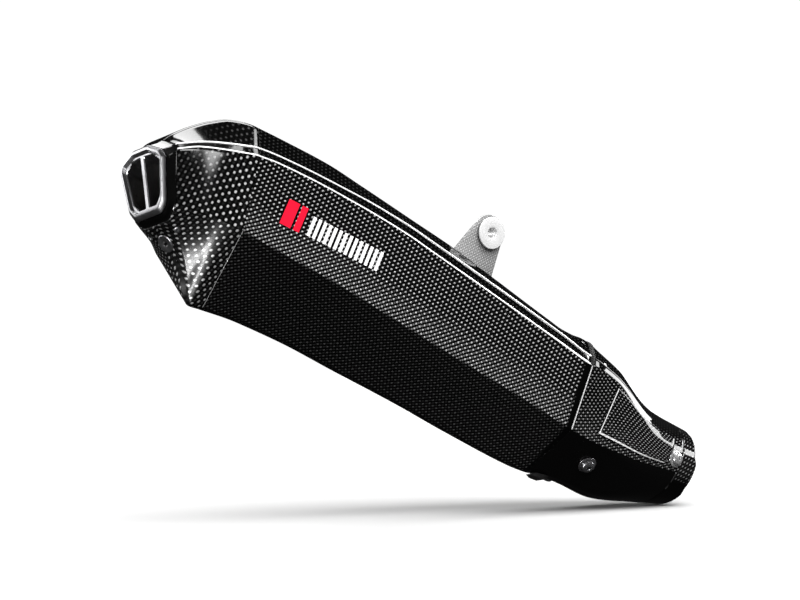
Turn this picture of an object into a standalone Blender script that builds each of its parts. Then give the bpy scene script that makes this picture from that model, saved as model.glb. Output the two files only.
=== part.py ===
"""Exhaust muffler for a motorcycle: faceted carbon can, two-slot outlet, shielded inlet nose, hanger tab.

World: metres, +X towards the front of the motorcycle, +Z up, the outer (right) side faces -Y.
The world origin is on the hanger bolt's axis. The muffler keeps its mounted lean and pitch.
Shape tables are in millimetres in the muffler's own axes: x forward along the can, y out to
the side (the can is symmetric about y = 0), z up.
"""
import math

import bmesh
import bpy
from mathutils import Matrix, Vector

MM = 0.001

# ---- attitude on the motorcycle
PITCH = math.radians(23.0)      # the can rises towards the rear
LEAN = math.radians(14.0)       # its top leans in towards the wheel
HANGER = (28.0, -42.0, 69.0)    # hanger bolt centre in the muffler's axes

# ---- wall thicknesses and gaps
CARBON = 2.0
SHIELD = 1.8
STEEL = 1.2
GAP = 0.4

# ---- the long edges of the can, from rear to front: (x, y, z)
RIDGE = [(-255, 12, 27.0), (-250, 18, 34.0), (-239.5, 24, 43.6), (-228, 30, 51.2), (-217, 36.5, 55.8),
         (-208, 41.5, 56.6), (-199, 46, 55.4), (-180, 46, 55.8), (-150, 46.2, 56.0), (-133, 46.4, 55.6),
         (-100, 46.6, 52.2), (-51, 46.9, 46.6), (-5, 47.1, 41.6), (40, 47.4, 33.8), (98, 47.7, 23.8),
         (112, 47.8, 21.8), (122, 47.8, 21.9), (133, 47.9, 23.2), (142, 48, 22.2), (152, 47, 20.2),
         (181, 41, 17.0), (210, 34, 12.0), (242, 25, 8.0), (262, 20, 7.4), (285, 18.4, 6.6)]
SHOULDER_TOP = [(-254, 28.5, 20.5), (-236.5, 37, 27.7), (-224, 42.5, 31.0), (-212, 48.5, 33.0),
                (-199, 54, 34.7), (-180, 54, 36.5), (-141, 53.9, 37.9), (-100, 53.9, 38.0), (-59, 53.8, 36.2),
                (-30, 53.8, 32.8), (40, 53.7, 23.7), (108, 53.6, 14.0), (142, 53.5, 8.4), (165, 48.6, 8.0),
                (193, 43.2, 4.0), (221, 37.6, -2.2), (248, 31.6, -7.2), (285, 28.3, -4.6)]
SHOULDER = [(-252, 31, 17.0), (-237.5, 38.3, 23.0), (-212, 50.3, 27.0), (-199, 56.5, 28.0), (-181, 56.4, 30.0),
            (-141, 56.0, 31.2), (-100, 55.7, 30.4), (-58, 55.4, 28.0), (-29, 55.1, 24.5), (40, 54.6, 15.7),
            (108, 54.1, 6.4), (142, 53.7, 2.2), (165, 49.3, 3.4), (193, 44.2, 0.0), (221, 38.9, -6.4),
            (248, 33.6, -12.0), (285, 30.1, -8.7)]
CREASE = [(-240, 25.0, -22.5), (-228, 32.4, -22.8), (-217, 37.5, -24.2), (-195.5, 49.2, -28.8), (-163, 51.0, -31.4),
          (-112, 51.2, -33.6), (-52, 49.3, -37.5), (-13, 48.1, -40.4), (36, 46.5, -43.6), (88, 44.8, -46.6),
          (131, 43.5, -50.4), (142, 43, -51.2), (156, 42, -51.6), (174, 40.2, -50.6), (198, 37.8, -47.8),
          (222, 35.4, -44.8), (240, 33.6, -41.3), (262, 31.2, -37.0), (285, 29.0, -33.1)]
KEEL = [(-238.8, 15, -30.0), (-228, 13, -35.5), (-218, 9.5, -44.0), (-206, 5.0, -60.0), (-200, 3.0, -71.5),
        (-195, 2.6, -76.2), (-186, 2.5, -75.0), (-150, 2.5, -71.2), (-110, 2.5, -70.4), (-60, 2.5, -72.4),
        (5, 2.5, -74.8), (51, 2.5, -77.8), (118, 2.5, -80.4), (137, 2.5, -79.4), (150, 3, -76.6),
        (165, 4, -75.0), (205, 5, -73.4), (235, 5, -68.6), (262, 4, -60.0), (285, 2.8, -51.5)]
LINES = [RIDGE, SHOULDER_TOP, SHOULDER, CREASE, KEEL]
FILLETS = [7.0, 1.2, 1.2, 1.6, 4.0]

# ---- ends of the can's pieces along each of the five edges
REAR_SEAM = (-199.0, -199.0, -199.0, -195.5, -186.0)
REAR_RIM = (-255.0, -253.2, -252.0, -239.8, -237.4)
FRONT_SEAM = (139.0, 141.5, 142.0, 140.0, 137.0)
SHIELD_START = (144.0, 142.8, 142.5, 140.5, 137.5)
SHIELD_END = (267.6, 266.8, 266.5, 264.6, 263.2)

# ---- round nose around the inlet
NOSE_Z = -19.6
NOSE_R = 32.0
NOSE_ANGLES = (35.0, 62.0, 70.0, 115.0, 174.0)
NOSE_END = 285.0
NOSE_RAKE = -0.12
NOSE_FLARE = 0.15
INLET_R = 25.4
INLET_END = 288.0

# ---- outlet: the nozzle's face stands behind the cap's rim
FACE_RAKE = -0.40
DUCT_END = 34.0
FACE_BASE = (-249.5, -20.0)
FACE_OUTLINE = [(9.0, 17.8), (21.5, 12.6), (24.6, 8.6), (19.8, -19.0), (14.0, -24.6)]
SLOT_OUTLINE = [(2.2, 13.6), (13.5, 12.8), (20.4, 7.6), (15.8, -15.4), (10.6, -20.4), (2.2, -20.4)]

# ---- core
CORE_R = 25.0
CORE_Z = -18.0
HOLE_ROWS = 4
HOLES_ROUND = 6

FRAME = (Matrix.Rotation(PITCH, 4, "Y")
         @ Matrix.Rotation(-LEAN, 4, "X")
         @ Matrix.Translation(Vector(HANGER) * -MM))


def clear_scene():
    for obj in list(bpy.data.objects):
        bpy.data.objects.remove(obj, do_unlink=True)


def material(name, colour, metallic, roughness):
    mat = bpy.data.materials.new(name)
    mat.use_nodes = True
    shader = mat.node_tree.nodes["Principled BSDF"]
    shader.inputs["Base Color"].default_value = (*colour, 1.0)
    shader.inputs["Metallic"].default_value = metallic
    shader.inputs["Roughness"].default_value = roughness
    mat.diffuse_color = (*colour, 1.0)
    return mat


def add_object(name, bm, mat, frame=FRAME):
    """Make a closed object from a bmesh in millimetres and place it in the muffler's frame."""
    bmesh.ops.scale(bm, vec=(MM, MM, MM), verts=bm.verts)
    bmesh.ops.recalc_face_normals(bm, faces=bm.faces)
    if bm.calc_volume(signed=True) < 0:
        bmesh.ops.reverse_faces(bm, faces=bm.faces)
    mesh = bpy.data.meshes.new(name)
    bm.to_mesh(mesh)
    bm.free()
    mesh.transform(frame)
    mesh.materials.append(mat)
    obj = bpy.data.objects.new(name, mesh)
    bpy.context.scene.collection.objects.link(obj)
    return obj


def on_line(line, x):
    """Point of a long edge at x, smoothed between the table's rows."""
    if x <= line[0][0]:
        return line[0][1], line[0][2]
    if x >= line[-1][0]:
        return line[-1][1], line[-1][2]
    i = max(k for k in range(len(line) - 1) if line[k][0] <= x)
    a = line[i]
    b = line[i + 1]
    h = b[0] - a[0]
    t = (x - a[0]) / h
    out = []
    for c in (1, 2):
        slope = (b[c] - a[c]) / h
        before = (a[c] - line[i - 1][c]) / (a[0] - line[i - 1][0]) if i > 0 else slope
        after = (line[i + 2][c] - b[c]) / (line[i + 2][0] - b[0]) if i + 2 < len(line) else slope
        m0 = 0.0 if before * slope <= 0 else 2 * before * slope / (before + slope)
        m1 = 0.0 if after * slope <= 0 else 2 * after * slope / (after + slope)
        h00 = 2 * t ** 3 - 3 * t ** 2 + 1
        h10 = t ** 3 - 2 * t ** 2 + t
        h01 = -2 * t ** 3 + 3 * t ** 2
        h11 = t ** 3 - t ** 2
        out.append(h00 * a[c] + h10 * h * m0 + h01 * b[c] + h11 * h * m1)
    return out[0], out[1]


def inset(points, d):
    """Move the corners of a closed (y, z) outline inwards by d; outline runs clockwise seen from +x."""
    out = []
    n = len(points)
    for i in range(n):
        p = Vector(points[i])
        a = (p - Vector(points[i - 1])).normalized()
        b = (Vector(points[(i + 1) % n]) - p).normalized()
        na = Vector((-a.y, a.x))
        nb = Vector((-b.y, b.x))
        bis = (na + nb).normalized()
        out.append(p - bis * (d / max(0.35, bis.dot(na))))
    return out


def rounded(corners, radii, steps=2):
    """Round each corner of a closed outline; every corner gives steps + 1 points."""
    out = []
    n = len(corners)
    for i in range(n):
        v = Vector(corners[i])
        before = Vector(corners[i - 1]) - v
        after = Vector(corners[(i + 1) % n]) - v
        half = 0.5 * before.angle(after)
        cut = radii[i] / max(0.2, math.tan(half))
        cut = min(cut, 0.42 * before.length, 0.42 * after.length)
        t1 = v + before.normalized() * cut
        t2 = v + after.normalized() * cut
        for k in range(steps + 1):
            t = k / steps
            out.append(t1 * (1 - t) ** 2 + v * (2 * t * (1 - t)) + t2 * t ** 2)
    return out


def nose_weight(x):
    """0 on the faceted can, 1 where the shield has become round."""
    t = min(1.0, max(0.0, (x - 178.0) / (262.0 - 178.0)))
    return t * t * (3 - 2 * t)


def ring(xs, depth, steps=2):
    """One closed ring of the can: xs gives x at each of the five edges, depth moves it inwards.

    Points run from the ridge on the +y side down to the keel and back up on the -y side.
    """
    corners = [on_line(line, x) for line, x in zip(LINES, xs)]
    outline = [(y, z) for y, z in corners] + [(-y, z) for y, z in reversed(corners)]
    if depth:
        outline = inset(outline, depth)
    radii = [max(0.4, r - depth) for r in FILLETS]
    chin = min(1.0, max(0.0, (-xs[3] - 200.0) / 25.0))
    radii[4] += 6.0 * chin
    radii[3] += 3.0 * chin
    radii = radii + list(reversed(radii))
    flat = rounded(outline, radii, steps)
    along = list(xs) + list(reversed(xs))
    width = steps + 1
    angles = list(NOSE_ANGLES) + [360.0 - a for a in reversed(NOSE_ANGLES)]
    points = []
    for i, p in enumerate(flat):
        j = i // width
        k = i % width
        a = angles[j]
        prev_a = angles[j - 1] - (360.0 if j == 0 else 0.0)
        next_a = angles[(j + 1) % 10] + (360.0 if j == 9 else 0.0)
        f = k / steps - 0.5
        turn = math.radians(a + f * 0.8 * ((next_a - a) if f > 0 else (a - prev_a)))
        r = NOSE_R + NOSE_FLARE * (NOSE_END - along[j]) - depth
        centre_z = NOSE_Z - NOSE_FLARE * (NOSE_END - along[j])
        circle = Vector((r * math.sin(turn), centre_z + r * math.cos(turn)))
        w = nose_weight(along[j])
        q = p * (1 - w) + circle * w
        points.append(Vector((along[j], q.x, q.y)))
    return points


def stations(start, end, shares):
    return [tuple(a + (b - a) * t for a, b in zip(start, end)) for t in shares]


def shares(count):
    return [i / (count - 1) for i in range(count)]


def bridge(bm, loop_a, loop_b, closed=True):
    n = len(loop_a)
    for i in range(n if closed else n - 1):
        j = (i + 1) % n
        bm.faces.new((loop_a[i], loop_a[j], loop_b[j], loop_b[i]))


def tube(name, outer, inner, mat):
    """Open-ended shell between an outer and an inner stack of rings."""
    bm = bmesh.new()
    out = [[bm.verts.new(p) for p in loop] for loop in outer]
    inn = [[bm.verts.new(p) for p in loop] for loop in inner]
    for a, b in zip(out, out[1:]):
        bridge(bm, a, b)
    for a, b in zip(inn, inn[1:]):
        bridge(bm, b, a)
    bridge(bm, inn[0], out[0])
    bridge(bm, out[-1], inn[-1])
    return add_object(name, bm, mat)


def strip(name, outer, inner, mat):
    """Curved plate between matching stacks of open rows of points."""
    bm = bmesh.new()
    out = [[bm.verts.new(p) for p in row] for row in outer]
    inn = [[bm.verts.new(p) for p in row] for row in inner]
    for a, b in zip(out, out[1:]):
        bridge(bm, a, b, closed=False)
    for a, b in zip(inn, inn[1:]):
        bridge(bm, b, a, closed=False)
    bridge(bm, inn[0], out[0], closed=False)
    bridge(bm, out[-1], inn[-1], closed=False)
    bridge(bm, [r[0] for r in out], [r[0] for r in inn], closed=False)
    bridge(bm, [r[-1] for r in inn], [r[-1] for r in out], closed=False)
    return add_object(name, bm, mat)


def circle_ring(x, r, count=32, rake=0.0, z0=NOSE_Z, y0=0.0):
    """Circle about the x axis through (y0, z0); rake slides its points along x with height."""
    out = []
    for i in range(count):
        a = 2 * math.pi * (i + 0.5) / count
        y = r * math.sin(a)
        z = r * math.cos(a)
        out.append(Vector((x + rake * z, y0 + y, z0 + z)))
    return out


def lathe(name, profile, mat, frame, count=24):
    """Closed ring turned about the local X axis from (x, r) points listed in order."""
    bm = bmesh.new()
    loops = []
    for x, r in profile:
        loop = []
        for i in range(count):
            a = 2 * math.pi * (i + 0.5) / count
            loop.append(bm.verts.new((x, r * math.sin(a), r * math.cos(a))))
        loops.append(loop)
    for a, b in zip(loops, loops[1:] + loops[:1]):
        bridge(bm, a, b)
    return add_object(name, bm, mat, frame)


def solid(name, loops, mat, frame=FRAME):
    """Solid through a stack of rings, closed with a face at each end."""
    bm = bmesh.new()
    rings = [[bm.verts.new(p) for p in loop] for loop in loops]
    for a, b in zip(rings, rings[1:]):
        bridge(bm, a, b)
    bm.faces.new(rings[0])
    bm.faces.new(rings[-1])
    return add_object(name, bm, mat, frame)


def cut(target, name, loops_list, frame=FRAME):
    """Subtract closed prisms from the target."""
    bm = bmesh.new()
    for loops in loops_list:
        rings = [[bm.verts.new(p) for p in loop] for loop in loops]
        for a, b in zip(rings, rings[1:]):
            bridge(bm, a, b)
        bm.faces.new(rings[0])
        bm.faces.new(rings[-1])
    cutter = add_object(name, bm, target.data.materials[0], frame)
    cutter.hide_render = True
    cutter.display_type = "WIRE"
    mod = target.modifiers.new(name, "BOOLEAN")
    mod.operation = "DIFFERENCE"
    mod.solver = "EXACT"
    mod.object = cutter
    return cutter


def screw_frame(point, normal):
    """Frame whose local X points along the outward normal at a point in the muffler's axes (mm)."""
    n = Vector(normal).normalized()
    up = Vector((0, 0, 1))
    side = up.cross(n).normalized()
    up = n.cross(side)
    turn = Matrix((n, side, up)).transposed().to_4x4()
    return FRAME @ Matrix.Translation(Vector(point) * MM) @ turn


def button_screw(name, point, normal, mat, head_r=5.5, head_h=3.0, shank_r=2.7, shank_l=9.0, lift=0.0):
    """Button-head screw with a six-sided socket, head seated lift above the point."""
    frame = screw_frame(point, normal)
    bm = bmesh.new()
    count = 12
    profile = [(-shank_l, shank_r), (lift, shank_r), (lift, head_r), (lift + 0.35 * head_h, head_r),
               (lift + 0.75 * head_h, 0.82 * head_r), (lift + head_h, 0.52 * head_r)]
    loops = []
    for x, r in profile:
        loop = []
        for i in range(count):
            a = 2 * math.pi * i / count
            loop.append(bm.verts.new((x, r * math.sin(a), r * math.cos(a))))
        loops.append(loop)
    for a, b in zip(loops, loops[1:]):
        bridge(bm, a, b)
    socket_r = 0.40 * head_r
    top = []
    floor = []
    for i in range(count):
        a = 2 * math.pi * i / count
        sector = (math.degrees(a) % 60.0) - 30.0
        r = socket_r * math.cos(math.radians(30)) / math.cos(math.radians(sector))
        top.append(bm.verts.new((lift + head_h, r * math.sin(a), r * math.cos(a))))
        floor.append(bm.verts.new((lift + 0.3 * head_h, r * math.sin(a), r * math.cos(a))))
    bridge(bm, loops[-1], top)
    bridge(bm, top, floor)
    bm.faces.new(floor)
    bm.faces.new(loops[0])
    return add_object(name, bm, mat, frame)


def drill(target, name, point, normal, r, length=14.0):
    """Round hole along the normal through the target."""
    n = Vector(normal).normalized()
    side = Vector((0, 0, 1)).cross(n).normalized()
    up = n.cross(side)
    loops = []
    for s in (-length, length):
        loop = []
        for i in range(16):
            a = 2 * math.pi * i / 16
            loop.append(Vector(point) + n * s + side * (r * math.sin(a)) + up * (r * math.cos(a)))
        loops.append(loop)
    return cut(target, name, [loops])


def facet(line_a, line_b, x, v):
    """Point on the facet between two long edges, and its outward normal, on the +y side."""
    def at(xx, vv):
        ya, za = on_line(line_a, xx)
        yb, zb = on_line(line_b, xx)
        return Vector((xx, ya + (yb - ya) * vv, za + (zb - za) * vv))
    p = at(x, v)
    dx = at(x + 1.0, v) - at(x - 1.0, v)
    dv = at(x, min(1.0, v + 0.02)) - at(x, max(0.0, v - 0.02))
    n = dx.cross(dv).normalized()
    if n.y < 0:
        n = -n
    return p, n


def mirrored(v, side):
    """Flip a +y side point or direction to the given side (+1 or -1)."""
    return Vector((v.x, v.y * side, v.z))


# ================================================================ build
clear_scene()

CARBON_GLOSS = material("carbon", (0.03, 0.03, 0.032), 0.0, 0.18)
CARBON_COARSE = material("carbon_coarse", (0.035, 0.035, 0.037), 0.0, 0.16)
BLACK_GLOSS = material("black_shield", (0.012, 0.012, 0.012), 0.0, 0.15)
BLACK_SOFT = material("rubber_black", (0.02, 0.02, 0.02), 0.0, 0.7)
SATIN = material("satin_steel", (0.32, 0.32, 0.33), 0.9, 0.35)
BRIGHT = material("bright_steel", (0.8, 0.8, 0.82), 1.0, 0.15)
ALLOY = material("alloy", (0.85, 0.85, 0.86), 1.0, 0.28)
INNER = material("inner_steel", (0.45, 0.43, 0.41), 1.0, 0.4)
WOOL = material("packing", (0.75, 0.7, 0.55), 0.0, 0.95)
TAB = material("carbon_tab", (0.12, 0.12, 0.125), 0.0, 0.3)

# ---- body sleeve
body_stations = stations(REAR_SEAM, FRONT_SEAM,
                         [0, 0.06, 0.14, 0.22, 0.34, 0.47, 0.6, 0.73, 0.86, 0.95, 1.0])
tube("body_sleeve", [ring(s, 0) for s in body_stations], [ring(s, CARBON) for s in body_stations], CARBON_GLOSS)

# ---- rear end cap
cap_start = tuple(x - GAP for x in REAR_SEAM)
cap_stations = stations(cap_start, REAR_RIM, [0, 0.1, 0.22, 0.36, 0.5, 0.64, 0.8, 0.9, 1.0])
rear_cap = tube("rear_end_cap", [ring(s, 0) for s in cap_stations],
                [ring(s, CARBON) for s in cap_stations], CARBON_COARSE)


def both_sides(half):
    return [(y, z) for y, z in half] + [(-y, z) for y, z in reversed(half)]


def on_plane(outline, base, rake, x_shift):
    """Lift a (y, z) outline onto a raked plane."""
    return [Vector((base[0] + rake * (p[1] - base[1]) + x_shift, p[0], p[1])) for p in outline]


def rim_outline(depth, x_shift):
    """Outline of the cap's rear rim, moved inwards by depth and along the can by x_shift."""
    return [p + Vector((x_shift, 0, 0)) for p in ring(REAR_RIM, depth)]


def face_outline(grow, x_shift):
    """Outline of the outlet nozzle, grown by grow, on its face plane."""
    outline = inset(both_sides(FACE_OUTLINE), -grow)
    radii = [9.0, 3.0, 3.0, 6.0, 5.0]
    return on_plane(rounded(outline, radii + radii[::-1]), FACE_BASE, FACE_RAKE, x_shift)


def slot_outline(side, grow, x_shift):
    """One outlet slot: straight inner edge at the divider, outer edge that narrows downwards."""
    outline = rounded(inset(SLOT_OUTLINE, -grow), [1.6, 3.5, 3.5, 4.0, 3.5, 1.6])
    if side < 0:
        outline = [Vector((-p.x, p.y)) for p in reversed(outline)]
    return on_plane(outline, FACE_BASE, FACE_RAKE, x_shift)


# ---- flared black surround between the rim and the nozzle
tube("outlet_surround",
     [rim_outline(CARBON + 0.5, 7.0), rim_outline(CARBON + 0.5, -GAP), rim_outline(0.3, -GAP),
      face_outline(4.0, 5.0), face_outline(3.0, 3.3)],
     [face_outline(1.9, 18.0), face_outline(1.9, 3.9)], BLACK_SOFT)

# ---- metal outlet nozzle: bevelled flange, dished face, two slots
nozzle = solid("outlet_nozzle",
               [face_outline(1.5, 18.0), face_outline(1.5, 3.6), face_outline(2.6, 2.6), face_outline(0.8, 0.5),
                face_outline(0, 0)], SATIN)
cut(nozzle, "cut_dish", [[face_outline(-1.4, -1.0), face_outline(-1.8, 0.6), face_outline(-2.8, 2.0)]])
for side, label in ((-1, "right"), (1, "left")):
    cut(nozzle, "cut_slot_" + label, [[slot_outline(side, 0, -8), slot_outline(side, 0, 30)]])
    tube("outlet_duct_" + label,
         [slot_outline(side, 0.9, 18.6), slot_outline(side, 0.9, DUCT_END)],
         [slot_outline(side, 0.0, 18.6), slot_outline(side, 0.0, DUCT_END)], INNER)

# ---- plug disc and rivets on the chin of the rear cap
def chin_point(x, y):
    """Point and outward normal on the sloping chin below the outlet."""
    def height(xx):
        return on_line(KEEL, xx)[1]
    z = height(x)
    slope = (height(x + 1.0) - height(x - 1.0)) / 2.0
    return Vector((x, y, z)), Vector((slope, 0, -1)).normalized()


plug_point, plug_normal = chin_point(-224.0, 3.0)
drill(rear_cap, "cut_plug", plug_point, plug_normal, 7.6, 6.0)
lathe("chin_plug", [(-4.0, 5.0), (-4.0, 7.2), (0.2, 7.2), (0.8, 6.6), (0.6, 2.0), (-1.0, 2.0), (-1.0, 1.0),
                    (-4.0, 1.0)], SATIN, screw_frame(plug_point, plug_normal), 16)
for side, label in ((-1, "right"), (1, "left")):
    p, n = facet(CREASE, KEEL, -228.4, 0.86)
    button_screw("cap_rivet_" + label, mirrored(p, side), mirrored(n, side), SATIN, 2.6, 1.2, 1.4, 5.0, 0.5)
    drill(rear_cap, "cut_cap_rivet_" + label, mirrored(p, side), mirrored(n, side), 1.8, 8.0)

# ---- inner plates, core tube and packing


def bore(target, name, start, end, r):
    """Round bore along the can through the target, on the core tube's axis."""
    cut(target, name, [[circle_ring(x, r, 24, z0=CORE_Z) for x in (start, end)]])


def plate(name, at):
    """Flat partition that fills the can at x = at, with a bore for the core tube."""
    loop = ring((at,) * 5, CARBON + 1.6)
    target = solid(name, [[p + Vector((dx, 0, 0)) for p in loop] for dx in (0, STEEL)], INNER)
    bore(target, "cut_" + name, at - 4.0, at + 4.0, CORE_R + 0.4)


REAR_PLATE = -176.0
FRONT_PLATE = 128.0
plate("rear_partition", REAR_PLATE)
plate("front_partition", FRONT_PLATE)

core = tube("core_tube",
            [circle_ring(x, CORE_R, 24, z0=CORE_Z) for x in (REAR_PLATE - 8, FRONT_PLATE + 8)],
            [circle_ring(x, CORE_R - STEEL, 24, z0=CORE_Z) for x in (REAR_PLATE - 8, FRONT_PLATE + 8)], INNER)
holes = []
for row in range(HOLE_ROWS):
    hx = REAR_PLATE + 30 + row * (FRONT_PLATE - REAR_PLATE - 60) / (HOLE_ROWS - 1)
    for k in range(HOLES_ROUND):
        a = 2 * math.pi * (k + 0.5 * (row % 2)) / HOLES_ROUND
        out = Vector((0, math.sin(a), math.cos(a)))
        side = Vector((0, math.cos(a), -math.sin(a)))
        centre = Vector((hx, 0, CORE_Z))
        prism = []
        for d in (CORE_R - 4.0, CORE_R + 2.0):
            prism.append([centre + out * d + Vector((4.0 * math.cos(b), 0, 0)) + side * (4.0 * math.sin(b))
                          for b in [math.pi * j / 3 for j in range(6)]])
        holes.append(prism)
cut(core, "cut_core_holes", holes)

wool_start = REAR_PLATE + STEEL + 1.0
wool_end = FRONT_PLATE - 1.0
wool = solid("packing_wool", [ring((wool_start + (wool_end - wool_start) * t,) * 5, CARBON + 3.0)
                              for t in shares(9)], WOOL)
bore(wool, "cut_packing_wool", wool_start - 4.0, wool_end + 4.0, CORE_R + 0.5)

# ---- inlet: steel cone and sleeve
CONE_START = FRONT_PLATE + STEEL + 0.4
CONE_END = 232.0


def inlet_axis_z(x):
    t = (x - CONE_START) / (CONE_END - CONE_START)
    t = min(1.0, max(0.0, t))
    return -23.0 + (NOSE_Z + 23.0) * t


cone_x = [CONE_START, CONE_START + 12.0, CONE_START + 50.0, CONE_END]
cone_r = [38.0, 38.0, 33.0, INLET_R + 2.4]
tube("inlet_cone",
     [circle_ring(x, r, 24, z0=inlet_axis_z(x)) for x, r in zip(cone_x, cone_r)],
     [circle_ring(x, r - STEEL, 24, z0=inlet_axis_z(x)) for x, r in zip(cone_x, cone_r)], INNER)
sleeve_x = (CONE_END + GAP, 250.0, INLET_END - 2.0, INLET_END)
tube("inlet_sleeve",
     [circle_ring(x, INLET_R + r, 24) for x, r in zip(sleeve_x, (1.6, 1.6, 1.6, 1.4))],
     [circle_ring(x, INLET_R + r, 24) for x, r in zip(sleeve_x, (0.0, 0.0, 0.0, 0.2))], SATIN)

# ---- nose collar: from the shield's end to the raked tip
collar_start = tuple(x + GAP for x in SHIELD_END)
collar_tip = tuple(NOSE_END + NOSE_RAKE * NOSE_R * math.cos(math.radians(a)) for a in NOSE_ANGLES)
collar_stations = stations(collar_start, collar_tip, [0, 0.08, 0.45, 0.85, 1.0])
tube("nose_collar",
     [ring(s, depth) for s, depth in zip(collar_stations, (0.3, 0.0, 0.0, 0.0, 1.6))],
     [ring(s, depth) for s, depth in zip(collar_stations, (3.0, 3.0, 3.0, 3.0, 3.6))], CARBON_GLOSS)

# ---- heat shields over the inlet: carbon above the crease, black below it
PER = 3                                   # points a corner gives
shield_shares = [0, 0.04, 0.12, 0.22, 0.34, 0.46, 0.58, 0.7, 0.82, 0.92, 1.0]
shield_stations = stations(SHIELD_START, SHIELD_END, shield_shares)
outer = [ring(s, 0) for s in shield_stations]
inner = [ring(s, SHIELD) for s in shield_stations]


def upper_rows(loops):
    """The part of each ring from the crease on one side over the top to the crease on the other."""
    rows = []
    for loop in loops:
        n = len(loop)
        first = 6 * PER + 1
        last = 3 * PER + 1
        rows.append([loop[i % n] for i in range(first, n + last + 1)])
    return rows


def lower_rows(loops, drop):
    """The part of each ring below the crease, its two upper edges dropped by the joint gap."""
    rows = []
    for loop in loops:
        first = 3 * PER + 1
        last = 6 * PER + 1
        row = [loop[i].copy() for i in range(first, last + 1)]
        row[0] = row[0] + (row[1] - row[0]).normalized() * drop
        row[-1] = row[-1] + (row[-2] - row[-1]).normalized() * drop
        rows.append(row)
    return rows


upper = strip("heat_shield_upper", upper_rows(outer), upper_rows(inner), CARBON_COARSE)
lower = strip("heat_shield_lower", lower_rows(outer, GAP), lower_rows(inner, GAP), BLACK_GLOSS)

# ---- raised panels on the shield's sides
for side, label in ((-1, "right"), (1, "left")):
    rows_out = []
    rows_in = []
    for t in (0, 0.03, 0.2, 0.4, 0.6, 0.8, 0.97, 1.0):
        row_out = []
        row_in = []
        for v in (0.10, 0.14, 0.4, 0.66, 0.82, 0.86):
            start = 178.0 - 12.0 * v
            end = 252.0 - 17.0 * max(0.0, v - 0.45)
            x = start + (end - start) * t
            edge = 0.0 if (t in (0, 1.0) or v in (0.10, 0.86)) else 0.5
            p, n = facet(SHOULDER, CREASE, x, v)
            w = nose_weight(x)
            a = math.radians(NOSE_ANGLES[2] + (NOSE_ANGLES[3] - NOSE_ANGLES[2]) * v)
            flare = NOSE_FLARE * (NOSE_END - x)
            c = Vector((x, (NOSE_R + flare) * math.sin(a), NOSE_Z - flare + (NOSE_R + flare) * math.cos(a)))
            cn = Vector((0, math.sin(a), math.cos(a)))
            q = p * (1 - w) + c * w
            m = (n * (1 - w) + cn * w).normalized()
            row_out.append(mirrored(q + m * (2.1 + edge), side))
            row_in.append(mirrored(q + m * 1.3, side))
        rows_out.append(row_out)
        rows_in.append(row_in)
    strip("shield_panel_" + label, rows_out, rows_in, CARBON_COARSE)

# ---- rubber strap in the gap over the top at the front seam
strap_stations = [(139.5, 141.9, 142.3, 140.2, 137.2), (143.5, 142.4, 142.4, 140.4, 137.4)]


def strap_rows(depth):
    rows = []
    for s in strap_stations:
        loop = ring(s, depth)
        n = len(loop)
        rows.append([loop[i % n] for i in range(n - 2 * PER + 1, n + 2 * PER - 1)])
    return rows


strip("seam_strap", strap_rows(-0.6), strap_rows(1.6), BLACK_SOFT)

# ---- shield screws with cup washers
NOSE_SCREW_ANGLE = 99.0
SHIELD_SCREWS = [("lower", 178.6, 5.6), ("nose", 257.4, 5.2)]
for label, x, head_r in SHIELD_SCREWS:
    for side, hand in ((-1, "right"), (1, "left")):
        if label == "nose":
            a = math.radians(NOSE_SCREW_ANGLE)
            r = NOSE_R + NOSE_FLARE * (NOSE_END - x)
            p = Vector((x, r * math.sin(a), NOSE_Z - NOSE_FLARE * (NOSE_END - x) + r * math.cos(a)))
            n = Vector((NOSE_FLARE, math.sin(a), math.cos(a))).normalized()
            target = upper
        else:
            p, n = facet(CREASE, KEEL, x, 0.48)
            target = lower
        p = mirrored(p, side)
        n = mirrored(n, side)
        lathe("washer_%s_%s" % (label, hand),
              [(0.5, 3.1), (0.5, head_r + 1.8), (0.9, head_r + 1.8), (1.6, head_r + 0.8), (1.6, 3.1)],
              BRIGHT if label == "nose" else SATIN, screw_frame(p, n), 18)
        button_screw("screw_%s_%s" % (label, hand), p, n, BRIGHT if label == "nose" else SATIN,
                     head_r, 3.2, 2.6, 6.0, 1.9)
        drill(target, "cut_%s_%s" % (label, hand), p, n, 3.2, 8.0)

# ---- small lug under the front seam
lug_loops = []
for x, half, top, bottom in ((141.5, 4.0, -79.6, -80.6), (145.0, 5.5, -78.6, -81.2), (153.0, 5.5, -77.2, -80.6),
                             (158.0, 4.0, -76.4, -78.2)):
    lug_loops.append([Vector((x, -half, top)), Vector((x, half, top)), Vector((x, half * 0.7, bottom)),
                      Vector((x, -half * 0.7, bottom))])
solid("keel_lug", lug_loops, BLACK_SOFT)

# ---- hanger: tab in a plane across the bolt, foot on the roof
SIN = math.sin(LEAN)
COS = math.cos(LEAN)


def tab_point(x, up, out):
    """Muffler-axes point from tab coordinates: up and out are measured from the bolt centre."""
    return Vector((HANGER[0] + x, HANGER[1] - SIN * up - COS * out, HANGER[2] + COS * up - SIN * out))


TAB_T = 3.2
TAB_REAR = -25.5
TAB_FRONT = 15.5


def roof(x):
    return on_line(RIDGE, x)[1]


def tab_base(x):
    """Height of the tab's lower edge above the roof, in tab coordinates."""
    z = roof(HANGER[0] + x) + 0.5
    return (z - HANGER[2]) / COS


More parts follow.
